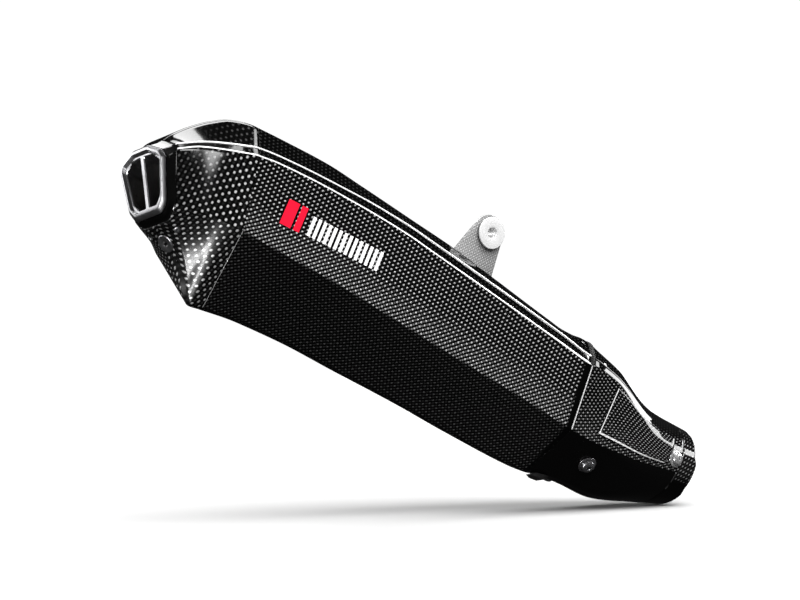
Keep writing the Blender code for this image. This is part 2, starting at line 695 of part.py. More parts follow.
outline = [(TAB_REAR, tab_base(TAB_REAR)), (TAB_REAR, tab_base(TAB_REAR) + 4.0)]
for i in range(10):
    a = math.radians(146.0 - i * 146.0 / 9.0)
    outline.append((14.0 * math.cos(a), 14.0 * math.sin(a)))
outline += [(TAB_FRONT, tab_base(TAB_FRONT) + 4.0), (TAB_FRONT, tab_base(TAB_FRONT))]
tab_loops = []
for out in (-TAB_T / 2, TAB_T / 2):
    tab_loops.append([tab_point(x, up, out) for x, up in outline])
tab = solid("hanger_tab", tab_loops, TAB)
hole = []
for out in (-6.0, 6.0):
    hole.append([tab_point(9.6 * math.cos(2 * math.pi * i / 24), 9.6 * math.sin(2 * math.pi * i / 24), out)
                 for i in range(24)])
cut(tab, "cut_hanger_hole", [hole])

# foot plate: an angle that clamps the tab to the roof
foot_rows = []
for x in (5.0, 41.0):
    z = roof(x)
    y0 = HANGER[1] - SIN * tab_base(x - HANGER[0])
    foot_rows.append([Vector((x, y0 + 2.6, z + 0.4)), Vector((x, y0 + 24.0, z + 0.4)),
                      Vector((x, y0 + 24.0, z + 2.8)), Vector((x, y0 + 4.4, z + 2.8)),
                      Vector((x, y0 + 2.6, z + 7.0)), Vector((x, y0 + 0.6, z + 7.0)),
                      Vector((x, y0 + 2.0, z + 4.0))])
foot = solid("hanger_foot", foot_rows, TAB)
for i, x in enumerate((11.0, 34.0)):
    z = roof(x) + 2.8
    y0 = HANGER[1] - SIN * tab_base(x - HANGER[0])
    slope = (roof(x + 1) - roof(x - 1)) / 2.0
    n = Vector((-slope, 0, 1)).normalized()
    p = Vector((x, y0 + 15.0, z))
    side = Vector((0, 1, 0))
    frame_turn = Matrix((n, side, n.cross(side))).transposed().to_4x4()
    frame = FRAME @ Matrix.Translation(p * MM) @ frame_turn
    lathe("foot_bolt_%d" % (i + 1), [(0.4, 1.6), (0.4, 5.0), (1.4, 5.0), (3.0, 3.6), (3.0, 1.6)],
          SATIN, frame, 12)

# rubber grommet and flanged collar, turned about the bolt's axis
BOLT_FRAME = Matrix.Rotation(math.radians(-90.0), 4, "Z")
lathe("hanger_grommet",
      [(-4.0, 6.33), (-4.0, 11.4), (-2.0, 11.4), (-2.0, 9.2), (2.0, 9.2), (2.0, 11.4), (4.0, 11.4), (4.0, 6.33)],
      BLACK_SOFT, BOLT_FRAME, 32)
lathe("hanger_collar",
      [(-6.0, 4.3), (-6.0, 12.2), (-4.4, 12.2), (-4.4, 6.2), (4.4, 6.2), (4.4, 12.2), (6.0, 12.2), (6.0, 4.3)],
      ALLOY, BOLT_FRAME, 32)
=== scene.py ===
"""Looks of a carbon exhaust muffler: fine surfaces, materials, camera and studio light."""

import math

import bmesh
import bpy
from mathutils import Matrix, Vector


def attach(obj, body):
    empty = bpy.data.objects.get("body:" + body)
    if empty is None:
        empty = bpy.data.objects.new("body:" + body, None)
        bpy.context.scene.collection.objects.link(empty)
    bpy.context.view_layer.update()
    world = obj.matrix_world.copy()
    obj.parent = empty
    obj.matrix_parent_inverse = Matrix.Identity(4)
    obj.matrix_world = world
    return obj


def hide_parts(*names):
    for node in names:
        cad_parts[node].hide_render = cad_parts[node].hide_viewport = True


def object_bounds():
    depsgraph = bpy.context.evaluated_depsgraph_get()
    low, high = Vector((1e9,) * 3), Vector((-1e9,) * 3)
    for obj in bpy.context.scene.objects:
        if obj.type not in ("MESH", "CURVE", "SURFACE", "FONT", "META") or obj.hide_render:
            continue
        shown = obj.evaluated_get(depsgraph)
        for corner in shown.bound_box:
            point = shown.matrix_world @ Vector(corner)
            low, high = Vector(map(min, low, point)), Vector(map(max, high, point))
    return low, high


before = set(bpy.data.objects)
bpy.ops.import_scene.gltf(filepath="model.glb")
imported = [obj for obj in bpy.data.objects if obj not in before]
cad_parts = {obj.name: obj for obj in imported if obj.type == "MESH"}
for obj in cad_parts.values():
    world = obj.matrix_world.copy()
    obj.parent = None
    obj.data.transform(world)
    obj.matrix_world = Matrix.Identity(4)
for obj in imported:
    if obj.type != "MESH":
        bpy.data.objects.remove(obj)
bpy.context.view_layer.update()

MM = 0.001
PITCH = math.radians(23.0)      # the can rises towards the rear
LEAN = math.radians(14.0)       # its top leans in towards the wheel
HANGER = (28.0, -42.0, 69.0)    # hanger bolt centre in the muffler's axes

# ---- wall thicknesses and gaps
CARBON = 2.0
SHIELD = 1.8
GAP = 0.4

# ---- the long edges of the can, from rear to front: (x, y, z)
RIDGE = [(-255, 12, 27.0), (-250, 18, 34.0), (-239.5, 24, 43.6), (-228, 30, 51.2), (-217, 36.5, 55.8),
         (-208, 41.5, 56.6), (-199, 46, 55.4), (-180, 46, 55.8), (-150, 46.2, 56.0), (-133, 46.4, 55.6),
         (-100, 46.6, 52.2), (-51, 46.9, 46.6), (-5, 47.1, 41.6), (40, 47.4, 33.8), (98, 47.7, 23.8),
         (112, 47.8, 21.8), (122, 47.8, 21.9), (133, 47.9, 23.2), (142, 48, 22.2), (152, 47, 20.2),
         (181, 41, 17.0), (210, 34, 12.0), (242, 25, 8.0), (262, 20, 7.4), (285, 18.4, 6.6)]
SHOULDER_TOP = [(-254, 28.5, 20.5), (-236.5, 37, 27.7), (-224, 42.5, 31.0), (-212, 48.5, 33.0),
                (-199, 54, 34.7), (-180, 54, 36.5), (-141, 53.9, 37.9), (-100, 53.9, 38.0), (-59, 53.8, 36.2),
                (-30, 53.8, 32.8), (40, 53.7, 23.7), (108, 53.6, 14.0), (142, 53.5, 8.4), (165, 48.6, 8.0),
                (193, 43.2, 4.0), (221, 37.6, -2.2), (248, 31.6, -7.2), (285, 28.3, -4.6)]
SHOULDER = [(-252, 31, 17.0), (-237.5, 38.3, 23.0), (-212, 50.3, 27.0), (-199, 56.5, 28.0),
            (-181, 56.4, 30.0), (-141, 56.0, 31.2), (-100, 55.7, 30.4), (-58, 55.4, 28.0),
            (-29, 55.1, 24.5), (40, 54.6, 15.7), (108, 54.1, 6.4), (142, 53.7, 2.2), (165, 49.3, 3.4),
            (193, 44.2, 0.0), (221, 38.9, -6.4), (248, 33.6, -12.0), (285, 30.1, -8.7)]
CREASE = [(-240, 25.0, -22.5), (-228, 32.4, -22.8), (-217, 37.5, -24.2), (-195.5, 49.2, -28.8),
          (-163, 51.0, -31.4), (-112, 51.2, -33.6), (-52, 49.3, -37.5), (-13, 48.1, -40.4),
          (36, 46.5, -43.6), (88, 44.8, -46.6), (131, 43.5, -50.4), (142, 43, -51.2), (156, 42, -51.6),
          (174, 40.2, -50.6), (198, 37.8, -47.8), (222, 35.4, -44.8), (240, 33.6, -41.3),
          (262, 31.2, -37.0), (285, 29.0, -33.1)]
KEEL = [(-238.8, 15, -30.0), (-228, 13, -35.5), (-218, 9.5, -44.0), (-206, 5.0, -60.0), (-200, 3.0, -71.5),
        (-195, 2.6, -76.2), (-186, 2.5, -75.0), (-150, 2.5, -71.2), (-110, 2.5, -70.4), (-60, 2.5, -72.4),
        (5, 2.5, -74.8), (51, 2.5, -77.8), (118, 2.5, -80.4), (137, 2.5, -79.4), (150, 3, -76.6),
        (165, 4, -75.0), (205, 5, -73.4), (235, 5, -68.6), (262, 4, -60.0), (285, 2.8, -51.5)]
LINES = [RIDGE, SHOULDER_TOP, SHOULDER, CREASE, KEEL]
FILLETS = [7.0, 1.2, 1.2, 1.6, 4.0]

# ---- ends of the can's pieces along each of the five edges
REAR_SEAM = (-199.0, -199.0, -199.0, -195.5, -186.0)
REAR_RIM = (-255.0, -253.2, -252.0, -239.8, -237.4)
FRONT_SEAM = (139.0, 141.5, 142.0, 140.0, 137.0)
SHIELD_START = (144.0, 142.8, 142.5, 140.5, 137.5)
SHIELD_END = (267.6, 266.8, 266.5, 264.6, 263.2)

# ---- round nose around the inlet
NOSE_Z = -19.6
NOSE_R = 32.0
NOSE_ANGLES = (35.0, 62.0, 70.0, 115.0, 174.0)
NOSE_END = 285.0
NOSE_RAKE = -0.12
NOSE_FLARE = 0.15
ROUND_START = 178.0             # x where the faceted shield begins to turn round
ROUND_END = 262.0               # x from which it is round

# ---- outlet: the nozzle's face stands behind the cap's rim
FACE_RAKE = -0.40
DUCT_END = 34.0
FACE_BASE = (-249.5, -20.0)
FACE_OUTLINE = [(9.0, 17.8), (21.5, 12.6), (24.6, 8.6), (19.8, -19.0), (14.0, -24.6)]
SLOT_OUTLINE = [(2.2, 13.6), (13.5, 12.8), (20.4, 7.6), (15.8, -15.4), (10.6, -20.4), (2.2, -20.4)]

STEPS = 6                                  # segments in each rounded corner
LEAST = [0.0, 1.1, 0.9, 0.0, 0.0]          # shortest cut at each edge, in mm
BEAD = 0.45                                # height of the bead along the shoulder's top edge
BEAD_OUT = (0.55, 0.83)                    # direction in which the bead stands out, (y, z)
SPLITS = (0.05, 0.3, 0.5, 0.7, 0.95)       # extra points across each flat facet
CHIN_START = 200.0                         # distance behind the origin where the chin starts to soften
CHIN_RUN = 25.0                            # length over which it softens
CHIN_FILLETS = (3.0, 6.0)                  # radius added at the chin's crease and keel
SHARP = math.radians(32.0)                 # edges that turn by more than this stay sharp

FRAME = (Matrix.Rotation(PITCH, 4, "Y")
         @ Matrix.Rotation(-LEAN, 4, "X")
         @ Matrix.Translation(Vector(HANGER) * -MM))


# ================ shape
def on_line(line, x):
    """Point of a long edge at x, smoothed between the table's rows."""
    if x <= line[0][0]:
        return line[0][1], line[0][2]
    if x >= line[-1][0]:
        return line[-1][1], line[-1][2]
    i = max(k for k in range(len(line) - 1) if line[k][0] <= x)
    a = line[i]
    b = line[i + 1]
    h = b[0] - a[0]
    t = (x - a[0]) / h
    out = []
    for c in (1, 2):
        slope = (b[c] - a[c]) / h
        before = (a[c] - line[i - 1][c]) / (a[0] - line[i - 1][0]) if i > 0 else slope
        after = (line[i + 2][c] - b[c]) / (line[i + 2][0] - b[0]) if i + 2 < len(line) else slope
        m0 = 0.0 if before * slope <= 0 else 2 * before * slope / (before + slope)
        m1 = 0.0 if after * slope <= 0 else 2 * after * slope / (after + slope)
        h00 = 2 * t ** 3 - 3 * t ** 2 + 1
        h10 = t ** 3 - 2 * t ** 2 + t
        h01 = -2 * t ** 3 + 3 * t ** 2
        h11 = t ** 3 - t ** 2
        out.append(h00 * a[c] + h10 * h * m0 + h01 * b[c] + h11 * h * m1)
    return out[0], out[1]


def inset(points, d):
    """Move the corners of a closed (y, z) outline inwards by d; outline runs clockwise seen from +x."""
    out = []
    n = len(points)
    for i in range(n):
        p = Vector(points[i])
        a = (p - Vector(points[i - 1])).normalized()
        b = (Vector(points[(i + 1) % n]) - p).normalized()
        na = Vector((-a.y, a.x))
        nb = Vector((-b.y, b.x))
        bis = (na + nb).normalized()
        out.append(p - bis * (d / max(0.35, bis.dot(na))))
    return out


def rounded(corners, radii, steps, least=None):
    """Round each corner of a closed outline; least holds the shortest cut allowed at each corner."""
    out = []
    n = len(corners)
    for i in range(n):
        v = Vector(corners[i])
        before = Vector(corners[i - 1]) - v
        after = Vector(corners[(i + 1) % n]) - v
        half = 0.5 * before.angle(after)
        cut = radii[i] / max(0.2, math.tan(half))
        if least:
            cut = max(cut, least[i])
        cut = min(cut, 0.42 * before.length, 0.42 * after.length)
        t1 = v + before.normalized() * cut
        t2 = v + after.normalized() * cut
        for k in range(steps + 1):
            t = k / steps
            out.append(t1 * (1 - t) ** 2 + v * (2 * t * (1 - t)) + t2 * t ** 2)
    return out


def nose_weight(x):
    """0 on the faceted can, 1 where the shield has become round."""
    t = min(1.0, max(0.0, (x - ROUND_START) / (ROUND_END - ROUND_START)))
    return t * t * (3 - 2 * t)


def nose_circle(x, angle, depth=0.0):
    """Point of the round nose at x; angle is in radians from the top, and depth runs inwards."""
    flare = NOSE_FLARE * (NOSE_END - x)
    r = NOSE_R + flare - depth
    return Vector((x, r * math.sin(angle), NOSE_Z - flare + r * math.cos(angle)))


def facet(line_a, line_b, x, v):
    """Point on the facet between two long edges, and its outward normal, on the +y side."""
    def at(xx, vv):
        ya, za = on_line(line_a, xx)
        yb, zb = on_line(line_b, xx)
        return Vector((xx, ya + (yb - ya) * vv, za + (zb - za) * vv))
    p = at(x, v)
    dx = at(x + 1.0, v) - at(x - 1.0, v)
    dv = at(x, min(1.0, v + 0.02)) - at(x, max(0.0, v - 0.02))
    n = dx.cross(dv).normalized()
    if n.y < 0:
        n = -n
    return p, n


def mirrored(v, side):
    """Flip a +y side point or direction to the given side (+1 or -1)."""
    return Vector((v.x, v.y * side, v.z))


def section(xs, depth, splits=SPLITS):
    """One closed ring of the can as (point, (v, zone)).

    v is the distance up from the crease along the ring; zone is 0 at the crease, 1 at the shoulder,
    3 at the ridge and -1 at the keel.
    """
    corners = [on_line(line, x) for line, x in zip(LINES, xs)]
    outline = [(y, z) for y, z in corners] + [(-y, z) for y, z in reversed(corners)]
    if depth:
        outline = inset(outline, depth)
    radii = [max(0.4, r - depth) for r in FILLETS]
    chin = min(1.0, max(0.0, (-xs[3] - CHIN_START) / CHIN_RUN))
    radii[3] += CHIN_FILLETS[0] * chin
    radii[4] += CHIN_FILLETS[1] * chin
    radii = radii + list(reversed(radii))
    flat = rounded(outline, radii, STEPS, LEAST + LEAST[::-1])
    along = list(xs) + list(reversed(xs))
    angles = list(NOSE_ANGLES) + [360.0 - a for a in reversed(NOSE_ANGLES)]
    width = STEPS + 1
    rows = []
    for i, p in enumerate(flat):
        j, k = divmod(i, width)
        a = angles[j]
        prev_a = angles[j - 1] - (360.0 if j == 0 else 0.0)
        next_a = angles[(j + 1) % 10] + (360.0 if j == 9 else 0.0)
        f = k / STEPS - 0.5
        rows.append((p, along[j], a + f * 0.8 * ((next_a - a) if f > 0 else (a - prev_a))))
    full = []
    for i, row in enumerate(rows):
        full.append(row)
        if i % width == STEPS:
            after = rows[(i + 1) % len(rows)]
            turn_after = after[2] + (360.0 if after[2] < row[2] else 0.0)
            for t in splits:
                full.append((row[0].lerp(after[0], t), row[1] + (after[1] - row[1]) * t,
                             row[2] + (turn_after - row[2]) * t))
    points = []
    for p, x, turn in full:
        circle = nose_circle(x, math.radians(turn), depth).yz
        q = p.lerp(circle, nose_weight(x))
        points.append(Vector((x, q.x, q.y)))
    if depth == 0:
        for j in (1, 8):
            for k in range(1, STEPS):
                i = j * (width + len(splits)) + k
                out_dir = Vector((0, BEAD_OUT[0] if j == 1 else -BEAD_OUT[0], BEAD_OUT[1]))
                swell = BEAD * math.sin(math.pi * k / STEPS) * (1 - nose_weight(xs[1]))
                points[i] = points[i] + out_dir * swell
    block = width + len(splits)
    right = 3 * block + STEPS // 2
    left = 6 * block + STEPS // 2
    length = [0.0]
    for a, b in zip(points, points[1:]):
        length.append(length[-1] + (b - a).length)
    total = length[-1] + (points[0] - points[-1]).length
    bottom = 4 * block + STEPS + (len(splits) + 1) // 2
    top = 9 * block + STEPS + (len(splits) + 1) // 2
    out = []
    for i, p in enumerate(points):
        t = (i - STEPS // 2) / block
        if i <= bottom:
            out.append((p, (length[right] - length[i], 3 - t)))
        elif i <= top:
            out.append((p, (length[i] - length[left], t - 6)))
        else:
            out.append((p, (length[right] + total - length[i], 13 - t)))
    return out


def stations(start, end, shares):
    """The x of each of the five edges, at the given shares of the way from start to end."""
    return [tuple(a + (b - a) * t for a, b in zip(start, end)) for t in shares]


def spread(count):
    """Evenly spaced shares from 0 to 1."""
    return [i / (count - 1) for i in range(count)]


def rounded_stack(start, end, count, depth, r_start, r_end):
    """Sections from start to end whose outer edges are rounded off by r_start and r_end."""
    out = []
    span = abs(end[2] - start[2])
    for a in (0, 30, 60):
        t = r_start * (1 - math.cos(math.radians(a))) / span
        d = r_start * (1 - math.sin(math.radians(a)))
        out.append((stations(start, end, [t])[0], depth + d))
    t0 = r_start / span
    t1 = 1 - r_end / span
    for t in spread(count):
        out.append((stations(start, end, [t0 + (t1 - t0) * t])[0], depth))
    for a in (60, 30, 0):
        t = 1 - r_end * (1 - math.cos(math.radians(a))) / span
        d = r_end * (1 - math.sin(math.radians(a)))
        out.append((stations(start, end, [t])[0], depth + d))
    return [section(xs, d) for xs, d in out]


def make_object(name, verts, faces, mat, frame_matrix=FRAME, cloth=None, body="muffler", nodes=()):
    """Mesh object from points in millimetres; cloth holds (u, v, zone) for each vertex, u and v in mm."""
    bm = bmesh.new()
    made = [bm.verts.new(p) for p in verts]
    layer = bm.loops.layers.uv.new("cloth")
    zones = bm.loops.layers.uv.new("zone")
    index = {}
    for i, v in enumerate(made):
        index[v] = i
    for face in faces:
        f = bm.faces.new([made[i] for i in face])
        f.smooth = True
        for loop in f.loops:
            i = index[loop.vert]
            u, v, zone = cloth[i] if cloth else (verts[i][0], verts[i][2], 0.5)
            loop[layer].uv = (u * MM, v * MM)
            loop[zones].uv = (zone, 0.0)
    bmesh.ops.recalc_face_normals(bm, faces=bm.faces)
    if bm.calc_volume(signed=True) < 0:
        bmesh.ops.reverse_faces(bm, faces=bm.faces)
    bmesh.ops.scale(bm, vec=(MM, MM, MM), verts=bm.verts)
    mesh = bpy.data.meshes.new(name)
    bm.to_mesh(mesh)
    bm.free()
    mesh.transform(frame_matrix)
    mesh.set_sharp_from_angle(angle=SHARP)
    mesh.materials.append(mat)
    obj = bpy.data.objects.new(name, mesh)
    bpy.context.scene.collection.objects.link(obj)
    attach(obj, body)
    if nodes:
        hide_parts(*nodes)
    return obj


def bridge(faces, a, b, n, closed):
    """Add the faces between two rows of n points that start at indices a and b."""
    for i in range(n if closed else n - 1):
        j = (i + 1) % n
        faces.append((a + i, a + j, b + j, b + i))


def shell(name, outer, inner, mat, closed=True, **kw):
    """Wall between an outer and an inner stack of rings or open rows of (point, (v, zone)).

    An open wall has as many inner rows as outer ones.
    """
    n = len(outer[0])
    rows = outer + inner
    verts = [p for row in rows for p, v in row]
    cloth = [(p.x, *v) for row in rows for p, v in row]
    faces = []
    for k in range(len(outer) - 1):
        bridge(faces, k * n, (k + 1) * n, n, closed)
    first = len(outer) * n
    last = first + (len(inner) - 1) * n
    for k in range(len(inner) - 1):
        bridge(faces, first + (k + 1) * n, first + k * n, n, closed)
    bridge(faces, first, 0, n, closed)
    bridge(faces, (len(outer) - 1) * n, last, n, closed)
    if not closed:
        for k in range(len(outer) - 1):
            here = k * n
            there = here + n
            faces.append((here, there, first + there, first + here))
            faces.append((there - 1, first + there - 1, first + there + n - 1, there + n - 1))
    return make_object(name, verts, faces, mat, cloth=cloth, **kw)


def highlight_marked(rows, low, high, mark):
    """Rows whose points between two zones carry the mark as their zone, for a painted highlight line along a
    rim.
    """
    return [[(p, (v, mark if low < zone < high else zone)) for p, (v, zone) in row] for row in rows]


def loops_object(name, loops, mat, ring=False, **kw):
    """Solid or closed ring through plain loops of points."""
    n = len(loops[0])
    verts = [p for loop in loops for p in loop]
    faces = []
    for k in range(len(loops) - 1):
        bridge(faces, k * n, (k + 1) * n, n, True)
    if ring:
        bridge(faces, (len(loops) - 1) * n, 0, n, True)
    else:
        faces.append(tuple(range(n)))
        faces.append(tuple(range((len(loops) - 1) * n, len(loops) * n)))
    return make_object(name, verts, faces, mat, **kw)


def turned(profile, count):
    """Loops of a profile of (x, r) turned about the local X axis."""
    turns = [2 * math.pi * i / count for i in range(count)]
    return [[Vector((x, r * math.sin(a), r * math.cos(a))) for a in turns] for x, r in profile]


def soften(points, r, closed):
    """Round the corners of a profile of (x, r) pairs by up to r."""
    out = []
    n = len(points)
    for i in range(n):
        v = Vector(points[i])
        if not closed and i in (0, n - 1):
            out.append(v)
            continue
        a = Vector(points[i - 1]) - v
        b = Vector(points[(i + 1) % n]) - v
        cut = min(r, 0.45 * a.length, 0.45 * b.length)
        t1 = v + a.normalized() * cut
        t2 = v + b.normalized() * cut
        for t in (0.0, 0.33, 0.67, 1.0):
            out.append(t1 * (1 - t) ** 2 + v * (2 * t * (1 - t)) + t2 * t ** 2)
    return out


def lathe(name, profile, mat, frame_matrix, r=0.3, count=64, **kw):
    """Closed ring turned about the local X axis, its profile's corners rounded by r."""
    return loops_object(name, turned(soften(profile, r, True), count), mat, ring=True,
                        frame_matrix=frame_matrix, **kw)


def screw_frame(point, normal):
    """Placement of a turned piece whose local X axis points along the normal."""
    n = Vector(normal).normalized()
    side = Vector((0, 0, 1)).cross(n).normalized()
    turn = Matrix((n, side, n.cross(side))).transposed().to_4x4()
    return FRAME @ Matrix.Translation(Vector(point) * MM) @ turn


def button_screw(name, point, normal, mat, head_r, head_h, shank_r, shank_l, lift):
    """Button-head screw with a six-sided socket."""
    count = 48
    outer = [(-shank_l, shank_r), (lift, shank_r), (lift, head_r - 0.2), (lift + 0.2, head_r)]
    rim = lift + 0.3 * head_h
    for k in range(9):
        a = math.radians(8 + k * 9.5)
        outer.append((rim + 0.7 * head_h * math.sin(a), head_r * (0.42 + 0.58 * math.cos(a))))
    loops = turned(outer, count)
    top = loops[-1][0].x
    for x, grow in ((top, 1.0), (top - 0.25, 0.93), (rim, 0.93)):
        loop = []
        for i in range(count):
            a = 2 * math.pi * i / count
            sector = (math.degrees(a) % 60.0) - 30.0
            r = 0.40 * head_r * grow * math.cos(math.radians(30)) / math.cos(math.radians(sector))
            loop.append(Vector((x, r * math.sin(a), r * math.cos(a))))
        loops.append(loop)
    return loops_object(name, loops, mat, frame_matrix=screw_frame(point, normal), nodes=(name,))


def plain_mesh(name, loops_list):
    """Closed prisms in one throwaway object, used to cut another."""
    verts = []
    faces = []
    for loops in loops_list:
        base = len(verts)
        n = len(loops[0])
        verts += [p * MM for loop in loops for p in loop]
        for k in range(len(loops) - 1):
            bridge(faces, base + k * n, base + (k + 1) * n, n, True)
        faces.append(tuple(range(base, base + n)))
        faces.append(tuple(range(base + (len(loops) - 1) * n, base + len(loops) * n)))
    bm = bmesh.new()
    made = [bm.verts.new(v) for v in verts]
    for face in faces:
        bm.faces.new([made[i] for i in face])
    bmesh.ops.recalc_face_normals(bm, faces=bm.faces)
    mesh = bpy.data.meshes.new(name)
    bm.to_mesh(mesh)
    bm.free()
    mesh.transform(FRAME)
    obj = bpy.data.objects.new(name, mesh)
    bpy.context.scene.collection.objects.link(obj)
    return obj


def carve(obj, cutters):
    """Subtract the cutters from obj for good, then remove them."""
    for cutter in cutters:
        mod = obj.modifiers.new("cut", "BOOLEAN")
        mod.operation = "DIFFERENCE"
        mod.solver = "EXACT"
        mod.object = cutter
    graph = bpy.context.evaluated_depsgraph_get()
    mesh = bpy.data.meshes.new_from_object(obj.evaluated_get(graph))
    obj.modifiers.clear()
    obj.data = mesh
    mesh.polygons.foreach_set("use_smooth", [True] * len(mesh.polygons))
    mesh.set_sharp_from_angle(angle=SHARP)
    for cutter in cutters:
        bpy.data.objects.remove(cutter, do_unlink=True)


# ================ materials
def fresh(name):
    mat = bpy.data.materials.new(name)
    mat.use_nodes = True
    return mat, mat.node_tree, mat.node_tree.nodes["Principled BSDF"]


def wire(tree, socket, value):
    if isinstance(value, bpy.types.NodeSocket):
        tree.links.new(value, socket)
    else:
        socket.default_value = value


def calc(tree, operation, *values):
    node = tree.nodes.new("ShaderNodeMath")
    node.operation = operation
    for socket, value in zip(node.inputs, values):
        wire(tree, socket, value)
    return node.outputs[0]


def noise(tree, scale, detail=2.0, roughness=0.5):
    node = tree.nodes.new("ShaderNodeTexNoise")
    node.inputs["Scale"].default_value = scale
    node.inputs["Detail"].default_value = detail
    node.inputs["Roughness"].default_value = roughness
    tree.links.new(tree.nodes.new("ShaderNodeTexCoord").outputs["Object"], node.inputs["Vector"])
    return node.outputs["Fac"]


def ramp(tree, factor, low, high, low_to, high_to):
    node = tree.nodes.new("ShaderNodeMapRange")
    node.inputs["From Min"].default_value = low
    node.inputs["From Max"].default_value = high
    node.inputs["To Min"].default_value = low_to
    node.inputs["To Max"].default_value = high_to
    tree.links.new(factor, node.inputs["Value"])
    return node.outputs["Result"]


def blend_colour(tree, factor, low, high):
    node = tree.nodes.new("ShaderNodeMix")
    node.data_type = "RGBA"
    wire(tree, node.inputs[0], factor)
    wire(tree, node.inputs[6], low)
    wire(tree, node.inputs[7], high)
    return node.outputs[2]


def bump(tree, height, distance, strength=1.0):
    node = tree.nodes.new("ShaderNodeBump")
    node.inputs["Distance"].default_value = distance
    node.inputs["Strength"].default_value = strength
    tree.links.new(height, node.inputs["Height"])
    return node.outputs["Normal"]


# colour of the painted highlight lines along folds and rims
PAINTED_HIGHLIGHT_COLOUR = (0.95, 0.95, 0.95, 1)
CREASE_SHEEN_BAND = 0.026                        # height of the band of painted sheen above the crease, in m
SHOULDER_HEIGHT = 0.062                    # height of the shoulder above the crease, in m; the painted shade of the weave ramps over it
ROOF_ZONES = (0.98, 1.12)                  # zones between which the side passes into the roof, where the roof's painted shade sets in
KEEL_ZONES = (-0.15, 0.0)                  # zones between which the underside passes into the side, over which the underside's painted shade lifts
